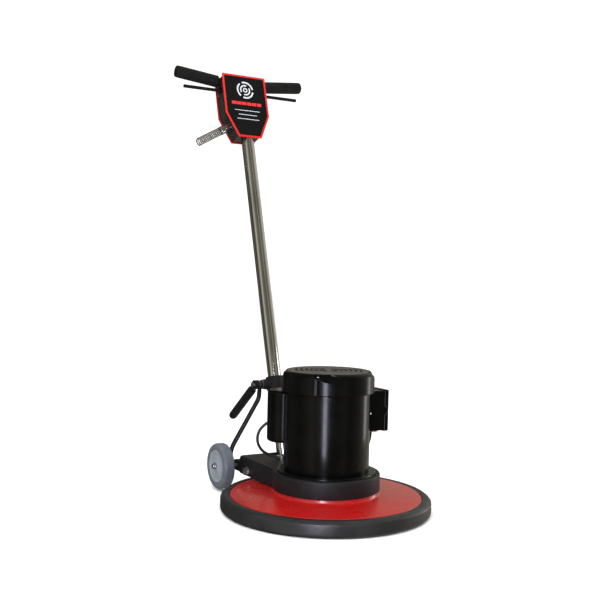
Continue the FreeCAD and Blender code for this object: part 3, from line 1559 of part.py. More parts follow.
def check_and_write():
    doc.recompute()
    for item in doc.Objects:
        if {"Invalid", "Error"} & set(item.State):
            raise ValueError(f"{item.Name} failed: {item.State}")
    for item in nodes:
        if item.Shape.isNull() or not item.Shape.isValid():
            raise ValueError(f"{item.Label} has no valid shape")
    os.makedirs("parts", exist_ok=True)
    for item in nodes:
        item.Shape.exportStep(f"parts/{item.Label}.step")
    print(len(nodes), "sub-parts written")


make_sheet()
make_deck()
make_bumper()
make_chassis()
make_motor_bolts()
make_pivot_bolt()
make_gear_case()
make_bearings()
make_ring_gear()
make_sun_gear()
make_planets()
make_carrier()
make_drive_plate()
make_motor_flange()
make_motor_shell()
make_upper_end_bell()
make_stator()
make_windings()
make_rotor()
make_cooling_fan()
make_fan_cover()
make_motor_cover_screws()
make_capacitor()
make_terminal_box()
make_cable()
make_cable_fittings()
make_axle()
make_wheel("left", "-wheel_inner_x", "-90")
make_wheel("right", "wheel_inner_x", "90")
make_handle_foot()
make_handle_tube()
make_switch_box()
make_handlebar()
make_grip("left", -1)
make_grip("right", 1)
make_strain_relief()
make_trigger()
make_power_switch()
make_clamp()
make_lever()
make_strut()
check_and_write()
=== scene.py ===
import json
import math

import bmesh
import bpy
from mathutils import Matrix, Vector


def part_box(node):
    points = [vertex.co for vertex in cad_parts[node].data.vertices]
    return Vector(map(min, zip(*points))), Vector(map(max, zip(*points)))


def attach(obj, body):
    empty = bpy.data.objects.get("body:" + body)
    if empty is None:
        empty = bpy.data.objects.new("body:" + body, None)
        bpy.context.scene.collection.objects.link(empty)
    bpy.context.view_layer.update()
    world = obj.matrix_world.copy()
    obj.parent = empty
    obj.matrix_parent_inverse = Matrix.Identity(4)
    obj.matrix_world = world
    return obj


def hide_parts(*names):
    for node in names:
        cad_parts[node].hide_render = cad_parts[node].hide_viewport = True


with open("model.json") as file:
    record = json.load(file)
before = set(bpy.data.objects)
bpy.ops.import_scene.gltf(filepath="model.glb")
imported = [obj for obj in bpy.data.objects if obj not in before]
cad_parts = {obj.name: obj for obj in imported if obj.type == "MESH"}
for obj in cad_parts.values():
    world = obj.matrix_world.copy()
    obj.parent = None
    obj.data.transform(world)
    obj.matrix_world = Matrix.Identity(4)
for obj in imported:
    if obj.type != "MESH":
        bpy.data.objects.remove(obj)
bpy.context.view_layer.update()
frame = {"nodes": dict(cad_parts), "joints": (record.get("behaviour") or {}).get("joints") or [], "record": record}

# Rotary floor machine, in metres: +Z up, the front towards -Y, the floor at z = 0.

joints = {joint["name"]: joint for joint in frame["joints"]}
MOTOR = Vector(joints["rotor_spin"]["pos_m"][:2] + [0.0])
ALONG = Vector(joints["clamp_slide"]["axis"]).normalized()
REAR = Vector((0.0, ALONG.z, -ALONG.y))
TUBE_LOW = -0.019
TUBE_HIGH = 1.003


def middle_of(node):
    low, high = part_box(node)
    return (low + high) / 2


def basis(x_way, y_way, z_way, origin):
    matrix = Matrix((x_way, y_way, z_way)).transposed().to_4x4()
    matrix.translation = origin
    return matrix


TUBE_FOOT = middle_of("handle_tube") - ALONG * (TUBE_LOW + TUBE_HIGH) / 2
# The motor's frame has its axis as Z, and the handle's has the tube as Z and +Y to its rear.
MOTOR_FRAME = Matrix.Translation(MOTOR)
HANDLE_FRAME = basis(Vector((1, 0, 0)), REAR, ALONG, TUBE_FOOT)


# ---- camera, floor and light --------------------------------------------------------------------

CAMERA_PLACE = Vector((-1.226, -2.140, 0.6065))
CAMERA_YAW = math.radians(-30.117)
CAMERA_FALL = math.radians(1.819)
CAMERA_ROLL = math.radians(1.328)
LENS_MM = 53.4


def make_camera():
    data = bpy.data.cameras.new("camera")
    data.lens = LENS_MM
    data.sensor_width = 36.0
    camera = bpy.data.objects.new("camera", data)
    bpy.context.scene.collection.objects.link(camera)
    ahead = Vector((-math.sin(CAMERA_YAW) * math.cos(CAMERA_FALL),
                    math.cos(CAMERA_YAW) * math.cos(CAMERA_FALL),
                    -math.sin(CAMERA_FALL)))
    right = Vector((math.cos(CAMERA_YAW), math.sin(CAMERA_YAW), 0.0))
    up = right.cross(ahead)
    rolled_right = right * math.cos(CAMERA_ROLL) + up * math.sin(CAMERA_ROLL)
    rolled_up = up * math.cos(CAMERA_ROLL) - right * math.sin(CAMERA_ROLL)
    camera.matrix_world = basis(rolled_right, rolled_up, -ahead, CAMERA_PLACE)
    bpy.context.scene.camera = camera


def make_floor():
    mesh = bpy.data.meshes.new("floor")
    shape = bmesh.new()
    bmesh.ops.create_circle(shape, cap_ends=True, radius=30.0, segments=96)
    shape.to_mesh(mesh)
    shape.free()
    floor = bpy.data.objects.new("floor", mesh)
    floor.location.z = -0.0005
    floor.visible_glossy = False
    bpy.context.scene.collection.objects.link(floor)
    floor_paint = bpy.data.materials.new("pale_floor")
    floor_paint.use_nodes = True
    shader = floor_paint.node_tree.nodes["Principled BSDF"]
    shader.inputs["Base Color"].default_value = (0.88, 0.88, 0.88, 1.0)
    shader.inputs["Roughness"].default_value = 0.8
    shader.inputs["Specular IOR Level"].default_value = 0.1
    mesh.materials.append(floor_paint)


# How bright the room that glossy surfaces mirror is, going round: (degrees from +X, brightness).
ROOM = [
    (-180, 0.20), (-165, 0.50), (-148, 0.24), (-128, 0.12), (-95, 0.10), (-77, 0.26), (-58, 0.07),
    (-37, 0.22), (-12, 0.48), (26, 0.50), (60, 0.30), (98, 0.02), (136, 0.10), (161, 0.025),
]
ROOM_TINT = (1.0, 0.95, 0.80)


def mirrored_room(tree):
    """The brightness of the mirrored room for each direction, as a colour."""
    direction = tree.nodes.new("ShaderNodeTexCoord")
    parts = tree.nodes.new("ShaderNodeSeparateXYZ")
    turn = tree.nodes.new("ShaderNodeMath")
    turn.operation = "ARCTAN2"
    share = tree.nodes.new("ShaderNodeMapRange")
    share.inputs["From Min"].default_value = -math.pi
    share.inputs["From Max"].default_value = math.pi
    ramp = tree.nodes.new("ShaderNodeValToRGB")
    ramp.color_ramp.interpolation = "EASE"
    tree.links.new(direction.outputs["Generated"], parts.inputs["Vector"])
    tree.links.new(parts.outputs["Y"], turn.inputs[0])
    tree.links.new(parts.outputs["X"], turn.inputs[1])
    tree.links.new(turn.outputs["Value"], share.inputs["Value"])
    tree.links.new(share.outputs["Result"], ramp.inputs["Fac"])
    stops = ramp.color_ramp.elements
    while len(stops) < len(ROOM) + 1:
        stops.new(0.5)
    for stop, (degrees, bright) in zip(stops, ROOM + [(180, ROOM[0][1])]):
        stop.position = (degrees + 180) / 360
        stop.color = (*[bright * tint for tint in ROOM_TINT], 1.0)
    return ramp.outputs["Color"]


def make_world():
    """An even white studio, which glossy surfaces mirror as a dim room with soft bands."""
    world = bpy.data.worlds.new("studio")
    bpy.context.scene.world = world
    world.use_nodes = True
    tree = world.node_tree
    light = tree.nodes["Background"]
    light.inputs["Color"].default_value = (1.0, 1.0, 1.0, 1.0)
    light.inputs["Strength"].default_value = 1.18
    mirrored = tree.nodes.new("ShaderNodeBackground")
    tree.links.new(mirrored_room(tree), mirrored.inputs["Color"])
    rays = tree.nodes.new("ShaderNodeLightPath")
    choice = tree.nodes.new("ShaderNodeMixShader")
    tree.links.new(rays.outputs["Is Glossy Ray"], choice.inputs["Fac"])
    tree.links.new(light.outputs["Background"], choice.inputs[1])
    tree.links.new(mirrored.outputs["Background"], choice.inputs[2])
    tree.links.new(choice.outputs["Shader"], tree.nodes["World Output"].inputs["Surface"])


def softbox(name, place, target, width, height, power, colour=(1.0, 1.0, 1.0), mirrored=False):
    data = bpy.data.lights.new(name, "AREA")
    data.shape = "RECTANGLE"
    data.size = width
    data.size_y = height
    data.energy = power
    data.color = colour
    lamp = bpy.data.objects.new(name, data)
    bpy.context.scene.collection.objects.link(lamp)
    lamp.visible_camera = False
    lamp.visible_glossy = mirrored
    place = Vector(place)
    facing = (place - Vector(target)).normalized()
    across = Vector((0.0, 0.0, 1.0)).cross(facing)
    across = across.normalized() if across.length > 1e-6 else Vector((1.0, 0.0, 0.0))
    lamp.matrix_world = basis(across, facing.cross(across), facing, place)
    return lamp


# The mirrored strips' places from the motor: towards the camera, to the camera's side, up.
FRONT_STRIP = (1.0, -0.10, 0.22)
EDGE_STRIP = (-0.55, 1.1, 0.3)


def make_lights():
    softbox("top_light", (-0.4, -0.6, 3.2), (0.0, 0.0, 0.2), 3.0, 3.0, 60)
    softbox("left_light", (-3.2, -0.6, 1.6), (0.0, 0.0, 0.5), 1.2, 2.2, 20)
    softbox("right_light", (2.9, -1.6, 1.5), (0.0, 0.0, 0.5), 0.7, 2.4, 20)
    softbox("back_light", (0.4, 3.4, 1.8), (0.0, 0.0, 0.4), 2.6, 1.8, 25)
    view_way = Vector((CAMERA_PLACE.x, CAMERA_PLACE.y, 0.0)) - MOTOR
    view_way.normalize()
    side_way = Vector((-view_way.y, view_way.x, 0.0))
    target = MOTOR + Vector((0.0, 0.0, 0.2))

    def strip_place(ahead, aside, up):
        return MOTOR + view_way * ahead + side_way * aside + Vector((0.0, 0.0, up))

    softbox("front_strip", strip_place(*FRONT_STRIP), target, 0.16, 0.75, 8.0,
            (0.80, 0.81, 1.0), mirrored=True)
    softbox("edge_strip", strip_place(*EDGE_STRIP), target, 0.25, 0.7, 2.0, mirrored=True)


# ---- materials ----------------------------------------------------------------------------------

class Finish:
    """A Principled material whose colour, roughness and surface vary with soft noise."""

    def __init__(self, name, colour, roughness, metallic=0.0, specular=0.5):
        self.material = bpy.data.materials.new(name)
        self.material.use_nodes = True
        self.nodes = self.material.node_tree.nodes
        self.links = self.material.node_tree.links
        self.shader = self.nodes["Principled BSDF"]
        self.colour = colour
        self.roughness = roughness
        self.height = None
        self.shader.inputs["Base Color"].default_value = (*colour, 1.0)
        self.shader.inputs["Roughness"].default_value = roughness
        self.shader.inputs["Metallic"].default_value = metallic
        self.shader.inputs["Specular IOR Level"].default_value = specular
        self.place = self.nodes.new("ShaderNodeTexCoord").outputs["Object"]

    def coat(self, amount, roughness):
        self.shader.inputs["Coat Weight"].default_value = amount
        self.shader.inputs["Coat Roughness"].default_value = roughness
        return self

    def noise(self, grain, detail=4.0, stretch=None):
        """Noise whose blotches are about grain metres across."""
        place = self.place
        if stretch:
            mapping = self.nodes.new("ShaderNodeMapping")
            mapping.inputs["Scale"].default_value = stretch
            self.links.new(place, mapping.inputs["Vector"])
            place = mapping.outputs["Vector"]
        node = self.nodes.new("ShaderNodeTexNoise")
        node.inputs["Scale"].default_value = 1.0 / grain
        node.inputs["Detail"].default_value = detail
        self.links.new(place, node.inputs["Vector"])
        return node.outputs["Fac"]

    def spread(self, source, low, high, start=0.3, end=0.7):
        """The source's start to end, as low to high."""
        node = self.nodes.new("ShaderNodeMapRange")
        node.inputs["From Min"].default_value = start
        node.inputs["From Max"].default_value = end
        node.inputs["To Min"].default_value = low
        node.inputs["To Max"].default_value = high
        self.links.new(source, node.inputs["Value"])
        return node.outputs["Result"]

    def shade(self, source, dark, light):
        """Colour from dark to light times the base colour, along the source."""
        node = self.nodes.new("ShaderNodeMix")
        node.data_type = "RGBA"
        node.inputs["A"].default_value = (*[c * dark for c in self.colour], 1.0)
        node.inputs["B"].default_value = (*[min(1.0, c * light) for c in self.colour], 1.0)
        self.links.new(self.spread(source, 0.0, 1.0), node.inputs["Factor"])
        self.links.new(node.outputs["Result"], self.shader.inputs["Base Color"])
        return self

    def stain(self, source, colour, start, end):
        """A second colour over what is there, where the source is high."""
        node = self.nodes.new("ShaderNodeMix")
        node.data_type = "RGBA"
        base = self.shader.inputs["Base Color"]
        if base.links:
            self.links.new(base.links[0].from_socket, node.inputs["A"])
        else:
            node.inputs["A"].default_value = base.default_value
        node.inputs["B"].default_value = (*colour, 1.0)
        self.links.new(self.spread(source, 0.0, 1.0, start, end), node.inputs["Factor"])
        self.links.new(node.outputs["Result"], base)
        return self

    def gloss(self, source, low, high):
        self.links.new(self.spread(source, low, high), self.shader.inputs["Roughness"])
        return self

    def bump(self, source, depth, strength=1.0):
        node = self.nodes.new("ShaderNodeBump")
        node.inputs["Distance"].default_value = depth
        node.inputs["Strength"].default_value = strength
        self.links.new(source, node.inputs["Height"])
        if self.height:
            self.links.new(self.height, node.inputs["Normal"])
        self.height = node.outputs["Normal"]
        self.links.new(self.height, self.shader.inputs["Normal"])
        return self


def red_enamel(name, colour):
    paint = Finish(name, colour, 0.28)
    paint.coat(0.4, 0.12)
    paint.shade(paint.noise(0.09), 0.92, 1.05)
    paint.gloss(paint.noise(0.035), 0.24, 0.34)
    paint.bump(paint.noise(0.012, 2.0), 0.00002)
    return paint.material


def bumper_rubber():
    rubber = Finish("bumper_rubber", (0.012, 0.012, 0.0115), 0.42)
    rubber.shade(rubber.noise(0.05), 0.8, 1.35)
    rubber.gloss(rubber.noise(0.012), 0.34, 0.5)
    rubber.bump(rubber.noise(0.0012, 3.0), 0.00008)
    return rubber.material


def black_casting():
    paint = Finish("black_casting", (0.007, 0.007, 0.0074), 0.5, specular=0.32)
    paint.shade(paint.noise(0.03), 0.8, 1.3)
    paint.gloss(paint.noise(0.003), 0.42, 0.62)
    paint.bump(paint.noise(0.0016, 5.0), 0.0003)
    return paint.material


def black_enamel():
    paint = Finish("black_enamel", (0.0016, 0.0016, 0.0015), 0.22, specular=0.16)
    paint.coat(0.08, 0.05)
    paint.shade(paint.noise(0.06), 0.7, 1.5)
    paint.gloss(paint.noise(0.02), 0.19, 0.26)
    paint.bump(paint.noise(0.006, 2.0), 0.00006)
    return paint.material


def black_steel():
    paint = Finish("black_steel", (0.006, 0.006, 0.006), 0.35, specular=0.3)
    paint.shade(paint.noise(0.02), 0.8, 1.3)
    paint.gloss(paint.noise(0.008), 0.28, 0.42)
    paint.bump(paint.noise(0.002, 3.0), 0.00005)
    return paint.material


def dark_polish():
    paint = Finish("dark_polish", (0.05, 0.052, 0.05), 0.14, metallic=0.75)
    paint.shade(paint.noise(0.03), 0.6, 1.6)
    paint.gloss(paint.noise(0.015), 0.10, 0.26)
    paint.bump(paint.noise(0.01, 2.0), 0.0001)
    return paint.material


def bare_metal(name, colour, roughness, grain=0.0008):
    metal = Finish(name, colour, roughness, metallic=1.0)
    metal.shade(metal.noise(0.01), 0.88, 1.06)
    metal.gloss(metal.noise(grain * 4), roughness * 0.75, roughness * 1.35)
    metal.bump(metal.noise(grain, 3.0), 0.00002)
    return metal.material


def chrome():
    metal = Finish("chrome", (0.82, 0.81, 0.77), 0.07, metallic=1.0)
    metal.shade(metal.noise(0.05, 5.0, (1.0, 1.0, 0.25)), 0.82, 1.08)
    metal.gloss(metal.noise(0.02, 5.0, (1.0, 1.0, 0.15)), 0.05, 0.16)
    metal.bump(metal.noise(0.03, 3.0, (1.0, 1.0, 0.2)), 0.00025)
    return metal.material


def grip_rubber():
    rubber = Finish("grip_rubber", (0.006, 0.006, 0.0057), 0.6, specular=0.3)
    rubber.shade(rubber.noise(0.02), 0.8, 1.3)
    rubber.gloss(rubber.noise(0.004), 0.52, 0.7)
    rubber.bump(rubber.noise(0.0009, 4.0), 0.00015)
    return rubber.material


def cable_rubber():
    rubber = Finish("cable_rubber", (0.012, 0.012, 0.012), 0.38)
    rubber.shade(rubber.noise(0.02), 0.8, 1.3)
    rubber.gloss(rubber.noise(0.01), 0.3, 0.45)
    rubber.bump(rubber.noise(0.001, 3.0), 0.00004)
    return rubber.material


def wheel_tyre():
    rubber = Finish("wheel_tyre", (0.085, 0.098, 0.114), 0.5)
    rubber.shade(rubber.noise(0.02), 0.85, 1.12)
    rubber.stain(rubber.noise(0.012, 6.0), (0.05, 0.055, 0.06), 0.62, 0.78)
    rubber.gloss(rubber.noise(0.006), 0.42, 0.58)
    rubber.bump(rubber.noise(0.001, 4.0), 0.0001)
    return rubber.material


def wheel_hub():
    plastic = Finish("wheel_hub", (0.19, 0.21, 0.23), 0.38)
    plastic.shade(plastic.noise(0.02), 0.93, 1.05)
    plastic.gloss(plastic.noise(0.008), 0.32, 0.45)
    plastic.bump(plastic.noise(0.0015, 3.0), 0.00004)
    return plastic.material


def plastic(name, colour, roughness):
    moulded = Finish(name, colour, roughness)
    moulded.shade(moulded.noise(0.01), 0.85, 1.2)
    moulded.gloss(moulded.noise(0.005), roughness * 0.85, roughness * 1.15)
    moulded.bump(moulded.noise(0.0008, 3.0), 0.00005)
    return moulded.material


def lamination_steel():
    metal = Finish("lamination_steel", (0.30, 0.31, 0.33), 0.45, metallic=1.0)
    metal.shade(metal.noise(0.0006, 1.0, (0.02, 0.02, 1.0)), 0.6, 1.15)
    metal.gloss(metal.noise(0.01), 0.38, 0.55)
    metal.bump(metal.noise(0.0006, 1.0, (0.02, 0.02, 1.0)), 0.0001)
    return metal.material


def copper_wire():
    metal = Finish("copper_wire", (0.60, 0.24, 0.10), 0.35, metallic=0.8)
    metal.shade(metal.noise(0.001, 2.0, (1.0, 1.0, 6.0)), 0.6, 1.2)
    metal.gloss(metal.noise(0.004), 0.28, 0.42)
    metal.bump(metal.noise(0.001, 2.0, (1.0, 1.0, 6.0)), 0.0003)
    return metal.material


def make_materials():
    return {
        "red_enamel": red_enamel("red_enamel", (0.31, 0.0040, 0.0034)),
        "plate_enamel": red_enamel("plate_enamel", (0.54, 0.008, 0.006)),
        "bumper_rubber": bumper_rubber(),
        "black_casting": black_casting(),
        "black_enamel": black_enamel(),
        "black_steel": black_steel(),
        "dark_polish": dark_polish(),
        "cast_aluminium": bare_metal("cast_aluminium", (0.55, 0.56, 0.57), 0.42, 0.002),
        "gear_steel": bare_metal("gear_steel", (0.42, 0.42, 0.44), 0.28),
        "bearing_steel": bare_metal("bearing_steel", (0.62, 0.63, 0.66), 0.2),
        "lamination_steel": lamination_steel(),
        "zinc_steel": bare_metal("zinc_steel", (0.72, 0.73, 0.75), 0.22),
        "dull_zinc": bare_metal("dull_zinc", (0.50, 0.47, 0.43), 0.42),
        "chrome": chrome(),
        "copper_wire": copper_wire(),
        "capacitor_can": bare_metal("capacitor_can", (0.66, 0.67, 0.68), 0.3),
        "cable_rubber": cable_rubber(),
        "grip_rubber": grip_rubber(),
        "fan_plastic": plastic("fan_plastic", (0.03, 0.03, 0.032), 0.5),
        "switch_plastic": plastic("switch_plastic", (0.04, 0.04, 0.04), 0.4),
        "wheel_tyre": wheel_tyre(),
        "wheel_hub": wheel_hub(),
        "label_film": plastic("label_film", (0.004, 0.004, 0.0045), 0.22),
        "bright_wire": bare_metal("bright_wire", (0.95, 0.95, 0.93), 0.35),
        # A paler grey for the lid's rim strips: a painted highlight along the edge.
        "lid_edge_painted_highlight": plastic("lid_edge_painted_highlight", (0.055, 0.055, 0.057), 0.4),
        # A pale diffuse grey for the metal screw: a painted glint.
        "screw_painted_glint": plastic("screw_painted_glint", (0.72, 0.72, 0.70), 0.25),
        "pale_print": plastic("pale_print", (0.50, 0.52, 0.54), 0.4),
        "red_print": plastic("red_print", (0.62, 0.012, 0.010), 0.4),
    }


# CAD nodes whose look differs from the rest of their slot.
OWN_FINISH = {
    "switch_box_band": "dark_polish", "strain_relief_spring": "bright_wire",
    "pivot_bolt": "dull_zinc",
}
# CAD nodes whose sharp edges are softened, with the width of the bevel.
SOFTENED = {
    "chassis_casting": 0.0012, "motor_flange": 0.0008, "terminal_box": 0.0006,
    "terminal_box_lid": 0.0006, "capacitor_cover": 0.0006, "clamp_block": 0.0008,
    "strut": 0.0006, "upper_end_bell": 0.0006, "switch_box_band": 0.0005,
}


def paint_cad_nodes(materials):
    """Every CAD node gets its record slot's material, or one of its own."""
    for part in frame["record"]["subparts"]:
        node = frame["nodes"][part["node"]]
        finish = OWN_FINISH.get(part["node"], part["material_slot"])
        node.data.materials.clear()
        node.data.materials.append(materials[finish])


def soften_cad_edges():
    for name, width in SOFTENED.items():
        node = frame["nodes"][name]
        weld = node.modifiers.new("weld", "WELD")
        weld.merge_threshold = 1e-5
        bevel = node.modifiers.new("bevel", "BEVEL")
        bevel.width = width
        bevel.segments = 2
        bevel.limit_method = "ANGLE"
        bevel.angle_limit = math.radians(40)
        bevel.harden_normals = True


# ---- shape helpers ------------------------------------------------------------------------------

MM = 0.001
X_WAY = Vector((1.0, 0.0, 0.0))


def rounded_outline(corners, steps=6):
    """Points of a closed outline, from (a, b, radius) corners."""
    points = []
    for i, (a, b, radius) in enumerate(corners):
        corner = Vector((a, b))
        before = Vector(corners[i - 1][:2]) - corner
        after = Vector(corners[(i + 1) % len(corners)][:2]) - corner
        half = before.angle(after) / 2
        reach = min(radius / math.tan(half), 0.49 * before.length, 0.49 * after.length)
        if reach < 1e-6:
            points.append(corner)
            continue
        centre = corner + (before.normalized() + after.normalized()).normalized() * (reach / math.cos(half))
        start = corner + before.normalized() * reach - centre
        end = corner + after.normalized() * reach - centre
        turn = start.angle(end)
        for step in range(steps + 1):
            share = step / steps
            arm = (start * math.sin((1 - share) * turn) + end * math.sin(share * turn)) / math.sin(turn)
            points.append(centre + arm)
    return points


def lathe(outline, segments=144):
    """A closed outline of (radius, height) points turned about Z."""
    shape = bmesh.new()
    rings = []
    for i in range(segments):
        angle = 2 * math.pi * i / segments
        rings.append([shape.verts.new((r * math.cos(angle), r * math.sin(angle), z)) for r, z in outline])
    for i, ring in enumerate(rings):
        other = rings[(i + 1) % segments]
        for k in range(len(outline)):
            n = (k + 1) % len(outline)
            shape.faces.new((ring[k], other[k], other[n], ring[n]))
    bmesh.ops.remove_doubles(shape, verts=shape.verts, dist=1e-6)
    bmesh.ops.dissolve_degenerate(shape, edges=shape.edges, dist=1e-7)
    return shape


def prism(outline, low, high, edge=0.0):
    """A closed outline of (x, y) points raised from low to high, its rims rounded by edge."""
    shape = bmesh.new()
    bottom = shape.faces.new([shape.verts.new((x, y, low)) for x, y in outline])
    raised = bmesh.ops.extrude_face_region(shape, geom=[bottom])
    top_verts = [item for item in raised["geom"] if isinstance(item, bmesh.types.BMVert)]
    bmesh.ops.translate(shape, verts=top_verts, vec=(0.0, 0.0, high - low))
    bmesh.ops.recalc_face_normals(shape, faces=shape.faces)
    if edge:
        rims = [e for e in shape.edges if abs(e.verts[0].co.z - e.verts[1].co.z) < 1e-9]
        bmesh.ops.bevel(shape, geom=rims, offset=edge, segments=3, profile=0.5, affect="EDGES")
    return shape


def join(shapes):
    """One bmesh holding several."""
    whole = bmesh.new()
    for shape in shapes:
        mesh = bpy.data.meshes.new("part")
        shape.to_mesh(mesh)
        shape.free()
        whole.from_mesh(mesh)
        bpy.data.meshes.remove(mesh)
    return whole


def piece(name, shape, place, finish, body, nodes=(), sharp=35):
    """Puts a shape built in a local frame into the row frame, on its body, in place of CAD nodes."""
    bmesh.ops.recalc_face_normals(shape, faces=shape.faces)
    shape.transform(place)
    mesh = bpy.data.meshes.new(name)
    shape.to_mesh(mesh)
    shape.free()
    mesh.polygons.foreach_set("use_smooth", [True] * len(mesh.polygons))
    mesh.set_sharp_from_angle(angle=math.radians(sharp))
    mesh.materials.append(materials[finish])
    item = bpy.data.objects.new(name, mesh)
    bpy.context.scene.collection.objects.link(item)
    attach(item, body)
    if nodes:
        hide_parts(*nodes)
    return item


def mm(corners):
    """The same corners in metres."""
    return [tuple(number * MM for number in corner) for corner in corners]


# ---- deck, bumper and motor ---------------------------------------------------------------------

def make_deck():
    outline = rounded_outline(mm([
        (53, 57.5, 0.6), (137.5, 57.5, 3), (139, 48, 4), (246, 41.5, 2.5), (248.5, 39, 1.5),
        (248.5, 28, 1), (244.5, 28, 1), (244.5, 37.4, 2), (135, 44, 4), (134.5, 53.5, 2),
        (53, 53.5, 0.6),
    ]))
    piece("pad_cover_deck", lathe(outline, 288), MOTOR_FRAME, "red_enamel", "root", ["deck"])


def make_bumper():
    outline = rounded_outline(mm([
        (248.7, 41, 0.8), (263.5, 41, 5), (272.9, 34, 8), (272.9, 7, 7), (265.5, 0.1, 4),
        (251.5, 0.1, 2), (242.5, 7, 2), (242.5, 27.8, 0.5), (248.7, 27.8, 0.3),
    ]))
    piece("rubber_bumper", lathe(outline, 288), MOTOR_FRAME, "bumper_rubber", "root", ["bumper"])


def make_shell():
    outline = rounded_outline(mm([
        (107, 106.7, 0.3), (110.4, 106.7, 0.8), (110.4, 308.8, 0.8), (107, 308.8, 0.3),
    ]), 3)
    piece("motor_housing", lathe(outline, 192), MOTOR_FRAME, "black_enamel", "root", ["motor_shell"])


COVER_LOW = 309 * MM
COVER_TOP = 363 * MM
COVER_RADIUS = 119.9 * MM
COVER_ROUND = 14 * MM
COVER_GAUGE = 2 * MM
COVER_HUB = 8 * MM
COVER_RIM_RADII = [(88 + step) * MM for step in range(0, 18)]
COVER_ROUND_STEPS = 20
COVER_SKIRT_STEP = 1.5
COVER_SKIRT_RINGS = 26
COVER_COLUMNS = 720
SCREW_ANGLES = [math.radians(45 + 90 * i) for i in range(4)]
SCREW_CIRCLE = 112 * MM
WELL_RADIUS = 9 * MM
WELL_FLOOR = 355 * MM
WELL_RIM = 0.6 * MM
VENT_RADII = [(20 + 13 * ring) * MM for ring in range(6)]
VENT_HALF_SLOT = 2.2 * MM
VENT_HALF_FIELD = 32 * MM
VENT_WAYS = (math.radians(-30), math.radians(150))
SCOOP_TURN = math.radians(16)
SCOOP_HALF_ANGLE = math.radians(14.5)
SCOOP_HALF_HEIGHT = 12 * MM
SCOOP_DEPTH = 9 * MM
SCOOP_DROP = 6.5 * MM
SCOOP_INSET = 3 * MM


def cover_profile():
    """(radius, height) down the fan cover's outside, from the middle of its top."""
    edges = [0.0, COVER_HUB]
    for radius in VENT_RADII:
        edges += [radius - VENT_HALF_SLOT, radius + VENT_HALF_SLOT]
    edges += COVER_RIM_RADII
    rows = [(radius, COVER_TOP) for radius in edges]
    for step in range(1, COVER_ROUND_STEPS):
        turn = math.pi / 2 * step / COVER_ROUND_STEPS
        rows.append((COVER_RADIUS - COVER_ROUND * (1 - math.sin(turn)),
                     COVER_TOP - COVER_ROUND * (1 - math.cos(turn))))
    straight = COVER_TOP - COVER_ROUND
    rows += [(COVER_RADIUS, straight - step * COVER_SKIRT_STEP * MM) for step in range(0, COVER_SKIRT_RINGS)]
    rows.append((COVER_RADIUS, COVER_LOW))
    return rows


def in_vent(radius, angle):
    """True for a face of the cover's top that is a vent."""
    for vent in VENT_RADII:
        if abs(radius - vent) < VENT_HALF_SLOT:
            half = math.asin(min(0.97, VENT_HALF_FIELD / vent))
            return any(abs(math.remainder(angle - way, 2 * math.pi)) < half for way in VENT_WAYS)
    return False


def scooped(point):
    """The point, pushed in where one of the four scoops beside the screws is."""
    angle = math.atan2(point.y, point.x)
    out = math.hypot(point.x, point.y) - COVER_RADIUS + SCOOP_INSET
    rise = point.z - COVER_TOP + SCOOP_DROP
    slope = (rise - out) * math.sqrt(0.5)
    for screw in SCREW_ANGLES:
        across = math.remainder(angle - screw - SCOOP_TURN, 2 * math.pi) / SCOOP_HALF_ANGLE
        spread = across ** 2 + (slope / SCOOP_HALF_HEIGHT) ** 2
        if spread < 1 and out > -SCOOP_HALF_HEIGHT:
            inward = Vector((-math.cos(angle), -math.sin(angle), -1.0)).normalized()
            return point + inward * (SCOOP_DEPTH * (1 - spread) ** 0.4)
    return point


def welled(point):
    """The point, lowered where a screw's well is, with the well's rim drawn as a true circle."""
    for screw in SCREW_ANGLES:
        centre = Vector((SCREW_CIRCLE * math.cos(screw), SCREW_CIRCLE * math.sin(screw), 0.0))
        arm = Vector((point.x, point.y, 0.0)) - centre
        if arm.length < WELL_RADIUS - WELL_RIM:
            return Vector((point.x, point.y, min(point.z, WELL_FLOOR)))
        if arm.length < WELL_RADIUS + WELL_RIM:
            rim = centre + arm.normalized() * WELL_RADIUS
            return Vector((rim.x, rim.y, point.z))
    return point


def make_fan_cover():
    shape = bmesh.new()
    rows = cover_profile()
    grid = []
    for radius, height in rows:
        ring = []
        for column in range(COVER_COLUMNS):
            angle = 2 * math.pi * column / COVER_COLUMNS
            ring.append(shape.verts.new((radius * math.cos(angle), radius * math.sin(angle), height)))
        grid.append(ring)
    for row in range(len(rows) - 1):
        middle = (rows[row][0] + rows[row + 1][0]) / 2
        for column in range(COVER_COLUMNS):
            angle = 2 * math.pi * (column + 0.5) / COVER_COLUMNS
            if rows[row + 1][1] == COVER_TOP and in_vent(middle, angle):
                continue
            after = (column + 1) % COVER_COLUMNS
            shape.faces.new((grid[row][column], grid[row + 1][column],
                             grid[row + 1][after], grid[row][after]))
    for vert in shape.verts:
        vert.co = welled(scooped(vert.co))
    bmesh.ops.remove_doubles(shape, verts=shape.verts, dist=2e-5)
    bmesh.ops.delete(shape, geom=[v for v in shape.verts if not v.link_faces], context="VERTS")
    cover = piece("motor_fan_cover", shape, MOTOR_FRAME, "black_enamel", "root", ["fan_cover"], sharp=42)
    gauge = cover.modifiers.new("gauge", "SOLIDIFY")
    gauge.thickness = COVER_GAUGE
    gauge.offset = -1.0
    gauge.use_even_offset = False


# ---- wheels -------------------------------------------------------------------------------------

WHEEL_MIDDLE = 155.5 * MM


def wheel_frame(sign):
    """A frame at a wheel's middle whose +Z points outwards."""
    axle = joints["left_wheel_roll"]["pos_m"]
    outward = X_WAY * sign
    return basis(Vector((0.0, 0.0, 1.0)).cross(outward), Vector((0.0, 0.0, 1.0)), outward,
                 Vector((sign * WHEEL_MIDDLE, axle[1], axle[2])))


